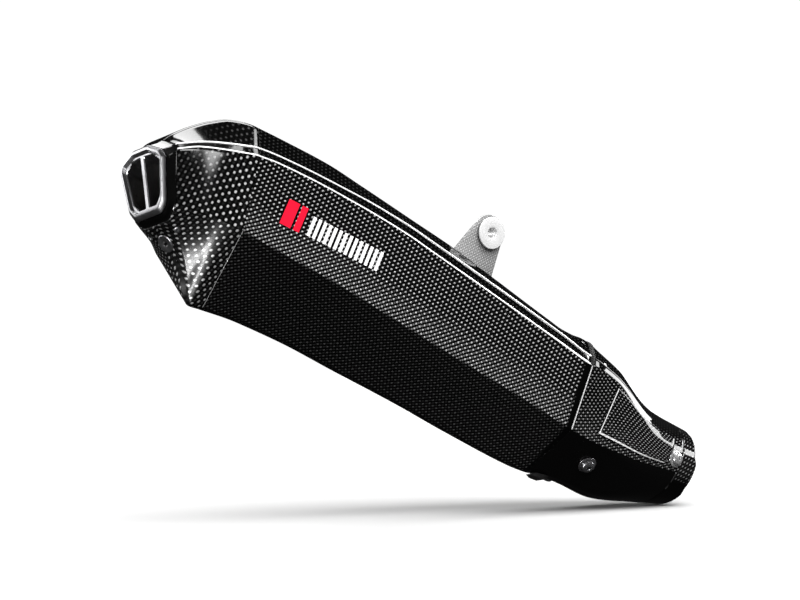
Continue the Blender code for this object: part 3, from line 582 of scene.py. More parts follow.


def weave_material(name, angle, cell, dark, light, second, coat_rough=0.03, rough=0.42, relief=0.00025,
                   metal=0.0, aspect=1.0, crease_sheen=0.0, shoulder_shade=1.0,
                   rear_shade=1.0, roof_shade=1.0, underside_shade=1.0, edges=(), margin=None):
    """Clear-coated plain weave; the weave is a real pattern, but its tow colours are painted sheen: light is
    the painted highlight on the tow family that catches the light, second the darker painted colour of the
    other.

    edges lists (zone, half width, strength) of the pale lines that are painted highlights on the folds and
    rims;
    margin is the (from x, to x) over which the weave gives way to plain resin at the front seam;
    the shade weights paint shade that darkens the weave by its place on the can (shoulder, rear, roof,
    underside), and 1 leaves it as it is; the crease weight paints sheen on the second family near the crease.
    """
    mat, tree, shader = fresh(name)
    uv = tree.nodes.new("ShaderNodeUVMap")
    uv.uv_map = "cloth"
    split = tree.nodes.new("ShaderNodeSeparateXYZ")
    tree.links.new(uv.outputs["UV"], split.inputs["Vector"])
    zone_map = tree.nodes.new("ShaderNodeUVMap")
    zone_map.uv_map = "zone"
    zone_split = tree.nodes.new("ShaderNodeSeparateXYZ")
    tree.links.new(zone_map.outputs["UV"], zone_split.inputs["Vector"])
    zone = zone_split.outputs["X"]
    drift = ramp(tree, noise(tree, 55.0), 0.3, 0.7, -0.12, 0.12)
    c = math.cos(math.radians(angle)) / (cell * MM)
    s = math.sin(math.radians(angle)) / (cell * MM)
    u = split.outputs["X"]
    v = split.outputs["Y"]
    p = calc(tree, "MULTIPLY_ADD", u, c, calc(tree, "MULTIPLY_ADD", v, s, drift))
    q = calc(tree, "MULTIPLY_ADD", u, -s, calc(tree, "MULTIPLY_ADD", v, c, drift))
    fp = calc(tree, "SUBTRACT", calc(tree, "FRACT", p), 0.5)
    fq = calc(tree, "SUBTRACT", calc(tree, "FRACT", q), 0.5)
    cp = calc(tree, "COSINE", calc(tree, "MULTIPLY", fp, math.pi))
    cq = calc(tree, "COSINE", calc(tree, "MULTIPLY", fq, math.pi))
    diagonal = calc(tree, "ADD", calc(tree, "FLOOR", p), calc(tree, "FLOOR", q))
    parity = calc(tree, "FLOORED_MODULO", diagonal, 2.0)
    over = calc(tree, "SUBTRACT", 1.0, parity)
    crown = calc(tree, "MULTIPLY", calc(tree, "POWER", cp, 1.0 / aspect), calc(tree, "POWER", cq, aspect))
    cells = tree.nodes.new("ShaderNodeCombineXYZ")
    tree.links.new(calc(tree, "FLOOR", p), cells.inputs["X"])
    tree.links.new(calc(tree, "FLOOR", q), cells.inputs["Y"])
    chance = tree.nodes.new("ShaderNodeTexWhiteNoise")
    chance.noise_dimensions = "2D"
    tree.links.new(cells.outputs["Vector"], chance.inputs["Vector"])
    vary = ramp(tree, chance.outputs["Value"], 0.0, 1.0, 0.78, 1.0)
    dot = calc(tree, "MULTIPLY", calc(tree, "MULTIPLY", over, vary), ramp(tree, crown, 0.42, 0.92, 0.0, 1.0))
    other = calc(tree, "MULTIPLY", parity, ramp(tree, crown, 0.3, 0.9, 0.0, 1.0))
    # painted shade: the weave darkens on the roof and on the underside
    roof_shade_share = ramp(tree, zone, *ROOF_ZONES, 1.0, roof_shade)
    underside_shade_share = ramp(tree, zone, *KEEL_ZONES, underside_shade, 1.0)
    # painted sheen: the second tow family is brighter near the crease
    near = ramp(tree, v, 0.0, CREASE_SHEEN_BAND, 1.0, 0.0)
    other = calc(tree, "MULTIPLY", other, calc(tree, "MULTIPLY_ADD", near, crease_sheen, 1.0 - crease_sheen))
    other = calc(tree, "MULTIPLY", other, roof_shade_share)
    other = calc(tree, "MULTIPLY", other, underside_shade_share)
    tint = blend_colour(tree, other, (*dark, 1), (*second, 1))
    # painted shade: the weave darkens towards the shoulder
    shade = ramp(tree, v, 0.0, SHOULDER_HEIGHT, 1.0, shoulder_shade)
    shade = calc(tree, "MULTIPLY", shade, roof_shade_share)
    shade = calc(tree, "MULTIPLY", shade, underside_shade_share)
    # painted shade on the upper rear of the cap
    if rear_shade < 1.0:
        slanted = calc(tree, "SUBTRACT", u, calc(tree, "MULTIPLY", v, 0.25))
        rear = ramp(tree, slanted, -0.250, -0.212, rear_shade, 1.0)
        upper = ramp(tree, zone, 0.0, 0.3, 0.0, 1.0)
        rear_shade_share = calc(tree, "MULTIPLY_ADD", calc(tree, "SUBTRACT", rear, 1.0), upper, 1.0)
        shade = calc(tree, "MULTIPLY", shade, rear_shade_share)
    dot = calc(tree, "MULTIPLY", dot, shade)
    if margin:
        kept = ramp(tree, u, margin[0], margin[1], 1.0, 0.0)
        dot = calc(tree, "MULTIPLY", dot, kept)
        tint = blend_colour(tree, kept, (*dark, 1), tint)
    cloth = blend_colour(tree, dot, tint, (*light, 1))
    # painted highlights: pale lines along the folds and the marked rims
    for place, half, strength in edges:
        away = calc(tree, "ABSOLUTE", calc(tree, "SUBTRACT", zone, place))
        line = ramp(tree, away, half * 0.6, half, strength, 0.0)
        cloth = blend_colour(tree, line, cloth, PAINTED_HIGHLIGHT_COLOUR)
    tree.links.new(cloth, shader.inputs["Base Color"])
    tree.links.new(calc(tree, "MULTIPLY", dot, metal), shader.inputs["Metallic"])
    strands = tree.nodes.new("ShaderNodeTexWave")
    strands.inputs["Scale"].default_value = 900.0
    strands.inputs["Distortion"].default_value = 1.5
    tree.links.new(tree.nodes.new("ShaderNodeTexCoord").outputs["Object"], strands.inputs["Vector"])
    strand_height = calc(tree, "MULTIPLY", strands.outputs["Fac"], 0.05)
    tow = calc(tree, "ADD", calc(tree, "MULTIPLY", crown, 0.85), strand_height)
    tree.links.new(bump(tree, tow, relief), shader.inputs["Normal"])
    uneven = ramp(tree, noise(tree, 140.0), 0.3, 0.7, rough - 0.06, rough + 0.06)
    tree.links.new(uneven, shader.inputs["Roughness"])
    shader.inputs["Specular IOR Level"].default_value = 0.0
    shader.inputs["Coat Weight"].default_value = 1.0
    shader.inputs["Coat IOR"].default_value = 1.52
    shader.inputs["Coat Roughness"].default_value = coat_rough
    tree.links.new(bump(tree, noise(tree, 60.0, 1.0), 0.00004, 0.5), shader.inputs["Coat Normal"])
    return mat


def gloss_material(name, colour, rough, coat_rough):
    mat, tree, shader = fresh(name)
    speck = noise(tree, 900.0, 2.0)
    tree.links.new(blend_colour(tree, ramp(tree, speck, 0.4, 0.8, 0.0, 0.35), (*colour, 1),
                                (*[c * 2.2 for c in colour], 1)), shader.inputs["Base Color"])
    uneven = ramp(tree, noise(tree, 40.0, 4.0), 0.3, 0.7, rough - 0.05, rough + 0.05)
    tree.links.new(uneven, shader.inputs["Roughness"])
    shader.inputs["Specular IOR Level"].default_value = 0.03
    shader.inputs["Coat Weight"].default_value = 1.0
    shader.inputs["Coat Roughness"].default_value = coat_rough
    tree.links.new(bump(tree, noise(tree, 45.0, 2.0), 0.00005, 0.5), shader.inputs["Coat Normal"])
    return mat


def rubber_material(name, colour, rough):
    mat, tree, shader = fresh(name)
    grain = noise(tree, 1600.0, 3.0)
    tree.links.new(blend_colour(tree, ramp(tree, noise(tree, 120.0, 4.0), 0.3, 0.75, 0.0, 1.0), (*colour, 1),
                                (*[c * 1.7 for c in colour], 1)), shader.inputs["Base Color"])
    tree.links.new(ramp(tree, grain, 0.3, 0.7, rough - 0.08, rough + 0.08), shader.inputs["Roughness"])
    tree.links.new(bump(tree, grain, 0.00006, 0.6), shader.inputs["Normal"])
    return mat


def metal_material(name, colour, rough, metal=1.0):
    """Metal with a fine grain, smudges and slightly darker patches."""
    mat, tree, shader = fresh(name)
    grain = noise(tree, 700.0, 3.0)
    patches = noise(tree, 35.0, 4.0)
    tree.links.new(blend_colour(tree, ramp(tree, patches, 0.35, 0.75, 0.0, 1.0), (*colour, 1),
                                (*[c * 0.82 for c in colour], 1)), shader.inputs["Base Color"])
    smudged = ramp(tree, calc(tree, "ADD", grain, patches), 0.6, 1.4, rough * 0.75, rough * 1.25)
    tree.links.new(smudged, shader.inputs["Roughness"])
    shader.inputs["Metallic"].default_value = metal
    tree.links.new(bump(tree, grain, 0.00002, 0.5), shader.inputs["Normal"])
    return mat


def wool_material(name):
    mat, tree, shader = fresh(name)
    strands = noise(tree, 420.0, 6.0, roughness=0.7)
    colour = blend_colour(tree, strands, (0.48, 0.42, 0.27, 1), (0.86, 0.8, 0.62, 1))
    tree.links.new(colour, shader.inputs["Base Color"])
    shader.inputs["Roughness"].default_value = 0.95
    tree.links.new(bump(tree, strands, 0.0012), shader.inputs["Normal"])
    return mat


def ink_material(name, colour):
    """Printed film under the lacquer, with a slightly uneven colour."""
    mat, tree, shader = fresh(name)
    tree.links.new(blend_colour(tree, ramp(tree, noise(tree, 90.0, 3.0), 0.3, 0.7, 0.0, 1.0), (*colour, 1),
                                (*[c * 0.9 for c in colour], 1)), shader.inputs["Base Color"])
    shader.inputs["Roughness"].default_value = 0.5
    shader.inputs["Specular IOR Level"].default_value = 0.0
    return mat


def grey(level):
    return (level, level, level)


HIGHLIGHT_MARK = 9.0                            # zone given to the points of a rim that has a painted highlight line
FAINT_HIGHLIGHT_MARK = 6.2                           # zone of a rim whose painted highlight line is fainter
# painted highlight lines: at the shoulder, at the shoulder's top and on the marked rims
PAINTED_HIGHLIGHT_LINES = ((1.0, 0.2, 0.8), (2.0, 0.2, 0.7), (HIGHLIGHT_MARK, 3.0, 0.55))
RESIN = grey(0.001)
# The weave patterns are real; their tow colours are painted sheen, lighter or darker piece by piece, and the
# shade weights paint shade on the roof, underside, shoulder and rear.
FINE = weave_material("weave_fine", 37.0, 2.65, RESIN, grey(0.62), grey(0.13), metal=0.5, aspect=1.7,
                      crease_sheen=0.95, shoulder_shade=0.8, roof_shade=0.05, underside_shade=0.15,
                      edges=PAINTED_HIGHLIGHT_LINES, margin=(0.1335, 0.1355))
SHIELD_WEAVE = weave_material("weave_shield", 22.0, 2.4, RESIN, grey(0.34), grey(0.04), metal=0.4, aspect=1.6,
                              crease_sheen=0.9, roof_shade=0.1, edges=((HIGHLIGHT_MARK, 3.5, 1.0),))
NOSE_WEAVE = weave_material("weave_nose", 37.0, 2.65, RESIN, grey(0.3), grey(0.02), metal=0.5, aspect=1.7,
                            roof_shade=0.3, underside_shade=0.0)
COARSE = weave_material("weave_coarse", -8.0, 3.1, RESIN, grey(0.6), grey(0.008), coat_rough=0.08, metal=0.5,
                        aspect=0.65, rear_shade=0.12, roof_shade=0.12, edges=PAINTED_HIGHLIGHT_LINES)
CHIN_WEAVE = weave_material("weave_chin", -8.0, 3.1, RESIN, grey(0.7), grey(0.02), coat_rough=0.27, metal=0.6,
                            aspect=0.65)
# the tab's lighter weave, its resin too, is a lit copy of the carbon: painted light
LIT_TAB_WEAVE = weave_material("weave_tab_painted_lit", 45.0, 1.9, grey(0.2), grey(0.52), grey(0.34), coat_rough=0.15)
BLACK = gloss_material("gloss_black", grey(0.0015), 0.5, 0.03)
RUBBER = rubber_material("rubber", grey(0.005), 0.6)
TRIM = metal_material("satin_trim", (0.33, 0.33, 0.34), 0.33)
CHROME = metal_material("bright_screw", (0.8, 0.8, 0.81), 0.2, metal=0.8)
DARK_SCREW = metal_material("zinc_dark", (0.36, 0.36, 0.37), 0.24, metal=0.9)
ALLOY = metal_material("turned_alloy", grey(0.8), 0.4, metal=0.25)
INNER = metal_material("inner_steel", (0.42, 0.4, 0.38), 0.42)
WOOL = wool_material("glass_wool")
RED = ink_material("print_red", (0.8, 0.01, 0.034))
WHITE = ink_material("print_white", grey(0.86))

# ================ can
body_rows = rounded_stack(REAR_SEAM, FRONT_SEAM, 90, 0.0, 0.15, 0.3)
# painted highlight line along the sleeve's rear rim, on its lower facet
body_rows[:3] = highlight_marked(body_rows[:3], -0.9, -0.1, HIGHLIGHT_MARK)
body_inside = [section(xs, CARBON) for xs in stations(REAR_SEAM, FRONT_SEAM, spread(12))]
shell("sleeve_skin", body_rows, body_inside, FINE, nodes=("body_sleeve",))

cap_start = tuple(x - GAP for x in REAR_SEAM)
cap = shell("cap_skin",
            rounded_stack(cap_start, REAR_RIM, 60, 0.0, 0.15, 0.6),
            [section(s, CARBON) for s in stations(cap_start, REAR_RIM, spread(20))],
            COARSE, nodes=("rear_end_cap",))
cap.data.materials.append(CHIN_WEAVE)
cap_zones = cap.data.uv_layers["zone"].data
for poly in cap.data.polygons:
    if sum(cap_zones[i].uv[0] for i in poly.loop_indices) / len(poly.loop_indices) < -0.1:
        poly.material_index = 1


def print_bar(name, x0, x1, z0, z1, mat, slant=0.17):
    """Slanted bar printed on the right side facet, from x0 to x1 (at z0) and from z0 up to z1."""
    verts = []
    cloth = []
    nx = 6
    nz = 8
    for i in range(nx + 1):
        for k in range(nz + 1):
            z = z0 + (z1 - z0) * k / nz
            x = x0 + (x1 - x0) * i / nx + slant * (z - z0)
            top = on_line(SHOULDER, x)[1]
            low = on_line(CREASE, x)[1]
            p, n = facet(SHOULDER, CREASE, x, (top - z) / (top - low))
            verts.append(mirrored(p + n * 0.12, -1))
            cloth.append((x, z, 0.5))
    faces = [(i * (nz + 1) + k, (i + 1) * (nz + 1) + k, (i + 1) * (nz + 1) + k + 1, i * (nz + 1) + k + 1)
             for i in range(nx) for k in range(nz)]
    return make_object(name, verts, faces, mat, cloth=cloth)


print_bar("mark_red_1", -169.0, -159.0, -11.5, 9.0, RED)
print_bar("mark_red_2", -156.5, -151.0, -11.5, 9.0, RED)
for i in range(14):
    print_bar("mark_white_%02d" % (i + 1), -144.0 + 5.0 * i, -141.2 + 5.0 * i, -10.5, 5.5, WHITE)


# ================ outlet
def both_sides(half):
    return [(y, z) for y, z in half] + [(-y, z) for y, z in reversed(half)]


def on_plane(outline, x_shift):
    return [Vector((FACE_BASE[0] + FACE_RAKE * (p[1] - FACE_BASE[1]) + x_shift, p[0], p[1])) for p in outline]


def rim_outline(depth, x_shift):
    return [p + Vector((x_shift, 0, 0)) for p, v in section(REAR_RIM, depth, ())]


def face_outline(grow, x_shift):
    radii = [9.0, 3.0, 3.0, 6.0, 5.0]
    return on_plane(rounded(inset(both_sides(FACE_OUTLINE), -grow), radii + radii[::-1], STEPS), x_shift)


def slot_outline(side, grow, x_shift):
    outline = rounded(inset(SLOT_OUTLINE, -grow), [1.6, 3.5, 3.5, 4.0, 3.5, 1.6], STEPS)
    if side < 0:
        outline = [Vector((-p.x, p.y)) for p in reversed(outline)]
    return on_plane(outline, x_shift)


def mid_loops(a, b, count, sag):
    """Loops between two loops, pushed back along the can by sag in the middle."""
    out = []
    for k in range(1, count):
        t = k / count
        out.append([p.lerp(q, t) + Vector((sag * math.sin(math.pi * t), 0, 0)) for p, q in zip(a, b)])
    return out


rim = rim_outline(0.3, -GAP)
lip = face_outline(4.0, 5.0)
outside = [rim_outline(CARBON + 0.5, 7.0), rim_outline(CARBON + 0.5, -GAP), rim_outline(0.9, -GAP), rim]
mouth = [lip, face_outline(3.6, 4.3), face_outline(3.0, 3.3), face_outline(1.9, 3.9), face_outline(1.9, 18.0)]
loops_object("surround_skin", outside + mid_loops(rim, lip, 6, 0.6) + mouth, BLACK, ring=True,
             nodes=("outlet_surround",))

nozzle = loops_object("nozzle_skin",
                      [face_outline(1.5, 18.0), face_outline(1.5, 3.6), face_outline(2.4, 2.9),
                       face_outline(2.6, 2.6), face_outline(2.5, 2.2), face_outline(0.9, 0.6),
                       face_outline(0.4, 0.12), face_outline(0, 0)], TRIM, nodes=("outlet_nozzle",))
cutters = [plain_mesh("dish", [[face_outline(-1.0, -1.0), face_outline(-1.2, 0.0), face_outline(-1.8, 0.8),
                                face_outline(-2.8, 2.0)]])]
for side in (-1, 1):
    cutters.append(plain_mesh("slot", [[slot_outline(side, 0.7, -8), slot_outline(side, 0.7, 2.1),
                                        slot_outline(side, 0.0, 2.8), slot_outline(side, 0.0, 30)]]))
carve(nozzle, cutters)
for side, label in ((-1, "right"), (1, "left")):
    outer = [slot_outline(side, 0.9, 18.6), slot_outline(side, 0.9, DUCT_END)]
    inner = [slot_outline(side, 0.0, DUCT_END), slot_outline(side, 0.0, 18.6)]
    loops_object("duct_skin_" + label, outer + inner, INNER, ring=True, nodes=("outlet_duct_" + label,))


def chin_point(x, y):
    """Point of the chin and its outward normal."""
    height = on_line(KEEL, x)[1]
    slope = (on_line(KEEL, x + 1.0)[1] - on_line(KEEL, x - 1.0)[1]) / 2.0
    return Vector((x, y, height)), Vector((slope, 0, -1)).normalized()


plug_point, plug_normal = chin_point(-224.0, 3.0)
plug_profile = [(-4.0, 5.0), (-4.0, 7.2), (0.2, 7.2), (0.8, 6.6), (0.6, 2.0), (-1.0, 2.0), (-1.0, 1.0),
                (-4.0, 1.0)]
lathe("plug_skin", plug_profile, TRIM, screw_frame(plug_point, plug_normal), r=0.5, nodes=("chin_plug",))
for side, label in ((-1, "right"), (1, "left")):
    p, n = facet(CREASE, KEEL, -228.4, 0.86)
    button_screw("cap_rivet_" + label, mirrored(p, side), mirrored(n, side), TRIM, 2.6, 1.2, 1.4, 5.0, 0.5)

# ================ inlet end
collar_start = tuple(x + GAP for x in SHIELD_END)
collar_tip = tuple(NOSE_END + NOSE_RAKE * NOSE_R * math.cos(math.radians(a)) for a in NOSE_ANGLES)
tip_run = [(t, 3.4 * (1 - math.cos(math.radians(a)))) for t, a in
           ((0.84, 0), (0.89, 15), (0.935, 30), (0.97, 45), (0.99, 58))]
collar_outer = [(0.0, 0.5), (0.012, 0.15), (0.03, 0.0)] + [(0.03 + 0.8 * t, 0.0) for t in spread(16)[1:]]
collar_outer += [(t, min(d, 1.5)) for t, d in tip_run] + [(1.0, 1.9)]
collar_sections = [section(stations(collar_start, collar_tip, [t])[0], d) for t, d in collar_outer]
collar_inner = [section(s, 3.2) for s in stations(collar_start, collar_tip, (0.0, 0.45, 1.0))]
shell("nose_collar_skin", collar_sections, collar_inner, NOSE_WEAVE, nodes=("nose_collar",))

BLOCK = STEPS + 1 + len(SPLITS)


def rows_between(loops, first, last):
    """The stretch of each ring from its point number first to last."""
    n = len(loops[0])
    return [[loop[i % n] for i in range(first, last + 1)] for loop in loops]


def dropped(rows, gap):
    """Rows whose two ends are drawn back by gap."""
    out = []
    for row in rows:
        row = list(row)
        for end, near in ((0, 1), (-1, -2)):
            p, v = row[end]
            q = row[near][0]
            step = min(gap, 0.8 * (q - p).length)
            row[end] = (p + (q - p).normalized() * step, v)
        out.append(row)
    return out


shield_list = [(0.0, 0.5), (0.001, 0.2), (0.005, 0.0)] + [(t, 0.0) for t in spread(70)[1:-1]]
shield_list += [(0.996, 0.0), (0.999, 0.15), (1.0, 0.4)]
shield_outer = [section(stations(SHIELD_START, SHIELD_END, [t])[0], d) for t, d in shield_list]
shield_inner = [section(stations(SHIELD_START, SHIELD_END, [t])[0], SHIELD) for t, d in shield_list]
# fainter painted highlight line along the shield's rim at the seam, on its side facet
shield_outer[:3] = highlight_marked(shield_outer[:3], 0.1, 0.9, FAINT_HIGHLIGHT_MARK)
up_first = 6 * BLOCK + STEPS // 2
up_last = 13 * BLOCK + STEPS // 2
low_first = 3 * BLOCK + STEPS // 2
low_last = 6 * BLOCK + STEPS // 2
shell("shield_upper_skin", rows_between(shield_outer, up_first, up_last),
      rows_between(shield_inner, up_first, up_last), SHIELD_WEAVE, closed=False, nodes=("heat_shield_upper",))
shell("shield_lower_skin", dropped(rows_between(shield_outer, low_first, low_last), GAP),
      dropped(rows_between(shield_inner, low_first, low_last), GAP), BLACK, closed=False,
      nodes=("heat_shield_lower",))


PANEL_LIFT = 2.7                           # height of the panel's face above the shield
PANEL_UNDER = 1.3                          # height of its underside
PANEL_TALL = 62.0                          # length of the weave from its lower to its upper border


def panel_point(x, v, lift):
    """Point above the shield's side, following it from the flat facet into the round nose."""
    p, n = facet(SHOULDER, CREASE, x, v)
    w = nose_weight(x)
    a = math.radians(NOSE_ANGLES[2] + (NOSE_ANGLES[3] - NOSE_ANGLES[2]) * v)
    c = nose_circle(x, a)
    m = (n * (1 - w) + Vector((0, math.sin(a), math.cos(a))) * w).normalized()
    return p.lerp(c, w) + m * lift


PANEL_EDGE = (0.55, 0.15, 0.0)             # drop of the panel's rounded border, in mm
PANEL_SILL = (1.15, 0.6, 0.0)              # drop of its wider lower border
for side, label in ((-1, "right"), (1, "left")):
    ts = [0.0, 0.006, 0.014] + [0.014 + 0.972 * t for t in spread(36)[1:-1]] + [0.986, 0.994, 1.0]
    vs = [0.10, 0.107, 0.117] + [0.117 + 0.706 * t for t in spread(22)[1:-1]] + [0.823, 0.842, 0.86]
    drop_t = list(PANEL_EDGE) + [0.0] * 34 + list(reversed(PANEL_EDGE))
    drop_v = list(PANEL_EDGE) + [0.0] * 20 + list(reversed(PANEL_SILL))
    top = []
    under = []
    for t, dt in zip(ts, drop_t):
        row = []
        low = []
        for v, dv in zip(vs, drop_v):
            start = 178.0 - 12.0 * v
            end = 252.0 - 17.0 * max(0.0, v - 0.45)
            x = start + (end - start) * t
            p = panel_point(x, v, PANEL_LIFT - max(dt, dv))
            # painted highlight line along the panel's lower border, fainter along its rear border
            border = HIGHLIGHT_MARK if dv in PANEL_SILL[:2] else FAINT_HIGHLIGHT_MARK if dt and x < 200.0 else 0.5
            height = PANEL_TALL * (1 - v)
            row.append((mirrored(p, side), (height, border)))
            low.append((mirrored(panel_point(x, v, PANEL_UNDER), side), (height, 0.5)))
        top.append(row)
        under.append(low)
    shell("shield_panel_skin_" + label, top, under, SHIELD_WEAVE, closed=False,
          nodes=("shield_panel_" + label,))

strap_ends = [(138.4, 139.4, 140.4, 140.0, 137.0), (145.0, 145.0, 144.0, 140.6, 137.6)]
strap_outer = []
strap_inner = []
for t, d in ((0.0, 0.0), (0.1, -0.35), (0.25, -0.6), (0.5, -0.75), (0.75, -0.6), (0.9, -0.35), (1.0, 0.0)):
    xs = stations(strap_ends[0], strap_ends[1], [t])[0]
    strap_outer.append(section(xs, d - 0.05))
    strap_inner.append(section(xs, 1.6 if t == 0.5 else -0.02))
strap_first = 7 * BLOCK + STEPS // 2
strap_last = 12 * BLOCK + STEPS // 2
shell("strap_skin", rows_between(strap_outer, strap_first, strap_last),
      rows_between(strap_inner, strap_first, strap_last), RUBBER, closed=False, nodes=("seam_strap",))

NOSE_SCREW_ANGLE = 99.0
for label, x, head_r in (("lower", 178.6, 5.6), ("nose", 257.4, 5.2)):
    if label == "nose":
        a = math.radians(NOSE_SCREW_ANGLE)
        p = nose_circle(x, a)
        n = Vector((NOSE_FLARE, math.sin(a), math.cos(a))).normalized()
        mat = CHROME
    else:
        p, n = facet(CREASE, KEEL, x, 0.48)
        mat = DARK_SCREW
    for side, hand in ((-1, "right"), (1, "left")):
        q = mirrored(p, side)
        m = mirrored(n, side)
        lathe("washer_%s_%s_skin" % (label, hand),
              [(0.5, 3.1), (0.5, head_r + 1.8), (0.9, head_r + 1.8), (1.6, head_r + 0.8), (1.6, 3.1)],
              mat, screw_frame(q, m), nodes=("washer_%s_%s" % (label, hand),))
        button_screw("screw_%s_%s" % (label, hand), q, m, mat, head_r, 3.2, 2.6, 6.0, 1.9)

# ================ hanger
SIN = math.sin(LEAN)
COS = math.cos(LEAN)


def tab_point(x, up, out):
    """Point of the leaning tab, from the bolt's centre: forward, up the tab and outwards."""
    return Vector((HANGER[0] + x, HANGER[1] - SIN * up - COS * out, HANGER[2] + COS * up - SIN * out))


def tab_base(x):
    """Height at which the tab meets the roof."""
    return (on_line(RIDGE, HANGER[0] + x)[1] + 0.5 - HANGER[2]) / COS


TAB_T = 3.2
TAB_REAR = -25.5
TAB_FRONT = 15.5
tab_outline = [(TAB_REAR, tab_base(TAB_REAR)), (TAB_REAR, tab_base(TAB_REAR) + 4.0)]
for i in range(37):
    a = math.radians(146.0 - i * 146.0 / 36.0)
    tab_outline.append((14.0 * math.cos(a), 14.0 * math.sin(a)))
tab_outline += [(TAB_FRONT, tab_base(TAB_FRONT) + 4.0), (TAB_FRONT, tab_base(TAB_FRONT))]
tab_loops = []
for grow, out in ((-0.5, -TAB_T / 2), (-0.15, -TAB_T / 2 + 0.15), (0.0, -TAB_T / 2 + 0.5),
                  (0.0, TAB_T / 2 - 0.5), (-0.15, TAB_T / 2 - 0.15), (-0.5, TAB_T / 2)):
    centre = Vector((-4.0, -8.0))
    loop = []
    for x, up in tab_outline:
        p = Vector((x, up))
        p = p + (p - centre).normalized() * grow
        loop.append(tab_point(p.x, p.y, out))
    tab_loops.append(loop)
tab = loops_object("tab_skin", tab_loops, LIT_TAB_WEAVE, nodes=("hanger_tab",))
hole = []
hole_turns = [2 * math.pi * i / 64 for i in range(64)]
for out, r in ((-6.0, 10.0), (-TAB_T / 2, 10.0), (-TAB_T / 2 + 0.4, 9.6), (TAB_T / 2 - 0.4, 9.6),
               (TAB_T / 2, 10.0), (6.0, 10.0)):
    hole.append([tab_point(r * math.cos(a), r * math.sin(a), out) for a in hole_turns])
carve(tab, [plain_mesh("tab_hole", [hole])])

BOLT_FRAME = Matrix.Rotation(math.radians(-90.0), 4, "Z")
grommet_profile = [(-4.0, 6.33), (-4.0, 11.4), (-2.0, 11.4), (-2.0, 9.2), (2.0, 9.2), (2.0, 11.4),
                   (4.0, 11.4), (4.0, 6.33)]
lathe("grommet_skin", grommet_profile, RUBBER, BOLT_FRAME, r=0.5, nodes=("hanger_grommet",))
collar_profile = [(-6.0, 4.3), (-6.0, 12.2), (-4.4, 12.2), (-4.4, 6.2), (4.4, 6.2), (4.4, 12.2),
                  (6.0, 12.2), (6.0, 4.3)]
lathe("collar_skin", collar_profile, ALLOY, BOLT_FRAME, r=0.35, body="collar", nodes=("hanger_collar",))

# ================ finishes of the frame's own pieces
FINISH = {"rubber_black": RUBBER, "inner_steel": INNER, "packing": WOOL, "carbon_tab": FINE,
          "satin_steel": TRIM}
for name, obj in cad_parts.items():
    for i, mat in enumerate(obj.data.materials):
        for key, finish in FINISH.items():
            if mat and mat.name.split(".")[0] == key:
                obj.data.materials[i] = finish

# ================ studio
scene = bpy.context.scene
scene.view_settings.view_transform = "Standard"
AZIMUTH = math.radians(-36.0)
ELEVATION = math.radians(1.5)
TARGET = Vector((-0.0559, 0.0241, -0.0600))
CAMERA_DISTANCE = 2.4
CAMERA_SHIFT = (-0.0125, 0.015)            # shares of the picture's width
back = Vector((math.sin(AZIMUTH) * math.cos(ELEVATION), -math.cos(AZIMUTH) * math.cos(ELEVATION),
               math.sin(ELEVATION)))
camera = bpy.data.objects.new("camera", bpy.data.cameras.new("camera"))
scene.collection.objects.link(camera)
camera.location = TARGET + back * CAMERA_DISTANCE
camera.rotation_mode = "QUATERNION"
camera.rotation_quaternion = (-back).to_track_quat("-Z", "Y")
camera.data.lens = 142.1
camera.data.sensor_width = 36.0
camera.data.shift_x = CAMERA_SHIFT[0]
camera.data.shift_y = CAMERA_SHIFT[1]
scene.camera = camera

FLOOR_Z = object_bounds()[0].z - 0.0004
floor_mesh = bpy.data.meshes.new("floor")
floor_corners = [(x, y, FLOOR_Z) for x, y in ((-2.0, -2.0), (2.0, -2.0), (2.0, 2.0), (-2.0, 2.0))]
floor_mesh.from_pydata(floor_corners, [], [(0, 1, 2, 3)])
floor = bpy.data.objects.new("floor", floor_mesh)
scene.collection.objects.link(floor)
floor_mat, _, floor_shader = fresh("pale_floor")
floor_shader.inputs["Base Color"].default_value = (0.52, 0.52, 0.52, 1)
floor_shader.inputs["Roughness"].default_value = 1.0
floor_shader.inputs["Specular IOR Level"].default_value = 0.0
floor_mesh.materials.append(floor_mat)
floor.visible_glossy = False
floor.visible_diffuse = False
floor.visible_shadow = False

world = bpy.data.worlds.new("studio")
scene.world = world
world.use_nodes = True
back_tree = world.node_tree
background = back_tree.nodes["Background"]
seen = back_tree.nodes.new("ShaderNodeLightPath")
strength = back_tree.nodes.new("ShaderNodeMapRange")
strength.inputs["To Min"].default_value = 0.012
strength.inputs["To Max"].default_value = 1.05
back_tree.links.new(seen.outputs["Is Camera Ray"], strength.inputs["Value"])
back_tree.links.new(strength.outputs["Result"], background.inputs["Strength"])
background.inputs["Color"].default_value = (1, 1, 1, 1)


def direction(azimuth, elevation):
    """Unit vector; azimuth 0 is -Y and 90 is +X, in degrees."""
    a = math.radians(azimuth)
    e = math.radians(elevation)
    return Vector((math.sin(a) * math.cos(e), -math.cos(a) * math.cos(e), math.sin(e)))


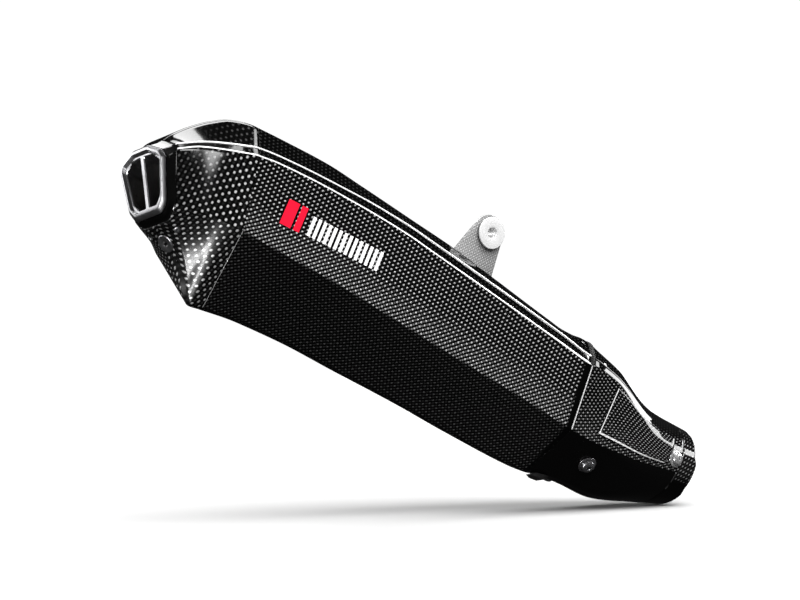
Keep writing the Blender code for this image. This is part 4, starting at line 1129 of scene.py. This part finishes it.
def softbox(name, azimuth, elevation, wide, high, radiance, distance=8.0, seen=True, diffuse=True,
            aim=(0.0, 0.0, -0.02)):
    """Area light that fills wide x high degrees of the sky around a direction."""
    data = bpy.data.lights.new(name, "AREA")
    data.shape = "RECTANGLE"
    data.size = 2 * distance * math.tan(math.radians(wide / 2))
    data.size_y = 2 * distance * math.tan(math.radians(high / 2))
    data.energy = radiance * math.pi * data.size * data.size_y
    obj = bpy.data.objects.new(name, data)
    scene.collection.objects.link(obj)
    d = direction(azimuth, elevation)
    obj.location = Vector(aim) + d * distance
    obj.rotation_mode = "QUATERNION"
    obj.rotation_quaternion = d.to_track_quat("Z", "Y")
    obj.visible_camera = False
    obj.visible_glossy = seen
    obj.visible_diffuse = diffuse
    return obj


SKY_AZIMUTH = -36.0
SKY_HEIGHT = 46.0
sky = bpy.data.lights.new("sky", "SUN")
sky.energy = 5.5
sky.angle = math.radians(60.0)
sky_obj = bpy.data.objects.new("sky", sky)
scene.collection.objects.link(sky_obj)
sky_obj.rotation_euler = direction(SKY_AZIMUTH, SKY_HEIGHT).to_track_quat("Z", "Y").to_euler()
sky_obj.visible_glossy = False
sky_obj.visible_camera = False

softbox("fill", 25, 42, 60, 40, 2.5, seen=False)
softbox("strip_right", 54, 18, 6, 8, 30.0, diffuse=False)
softbox("strip_nose", 84, 11, 34, 6, 9.0, diffuse=False)
softbox("strip_bead", 83.5, 27, 8, 6, 26.0, diffuse=False)
softbox("top_a", 155, 70, 40, 16, 11.0)
softbox("top_b", 30, 66, 40, 9, 8.0)
softbox("top_c", 155, 42, 30, 24, 5.0, diffuse=False)
softbox("spot_front", -8.5, 22, 4, 3, 16.0)
softbox("strip_left", -80, -10, 4, 30, 75.0, diffuse=False)
softbox("far_side", 205, 11, 44, 20, 5.0)
softbox("trim_light", -54, 5, 22, 18, 1.2, diffuse=False)
softbox("rear_fill", -138, 5, 30, 24, 0.9, diffuse=False)
softbox("low_fill", 30, -45, 30, 30, 4.0, distance=0.45, seen=False, aim=(0.12, -0.05, -0.13))
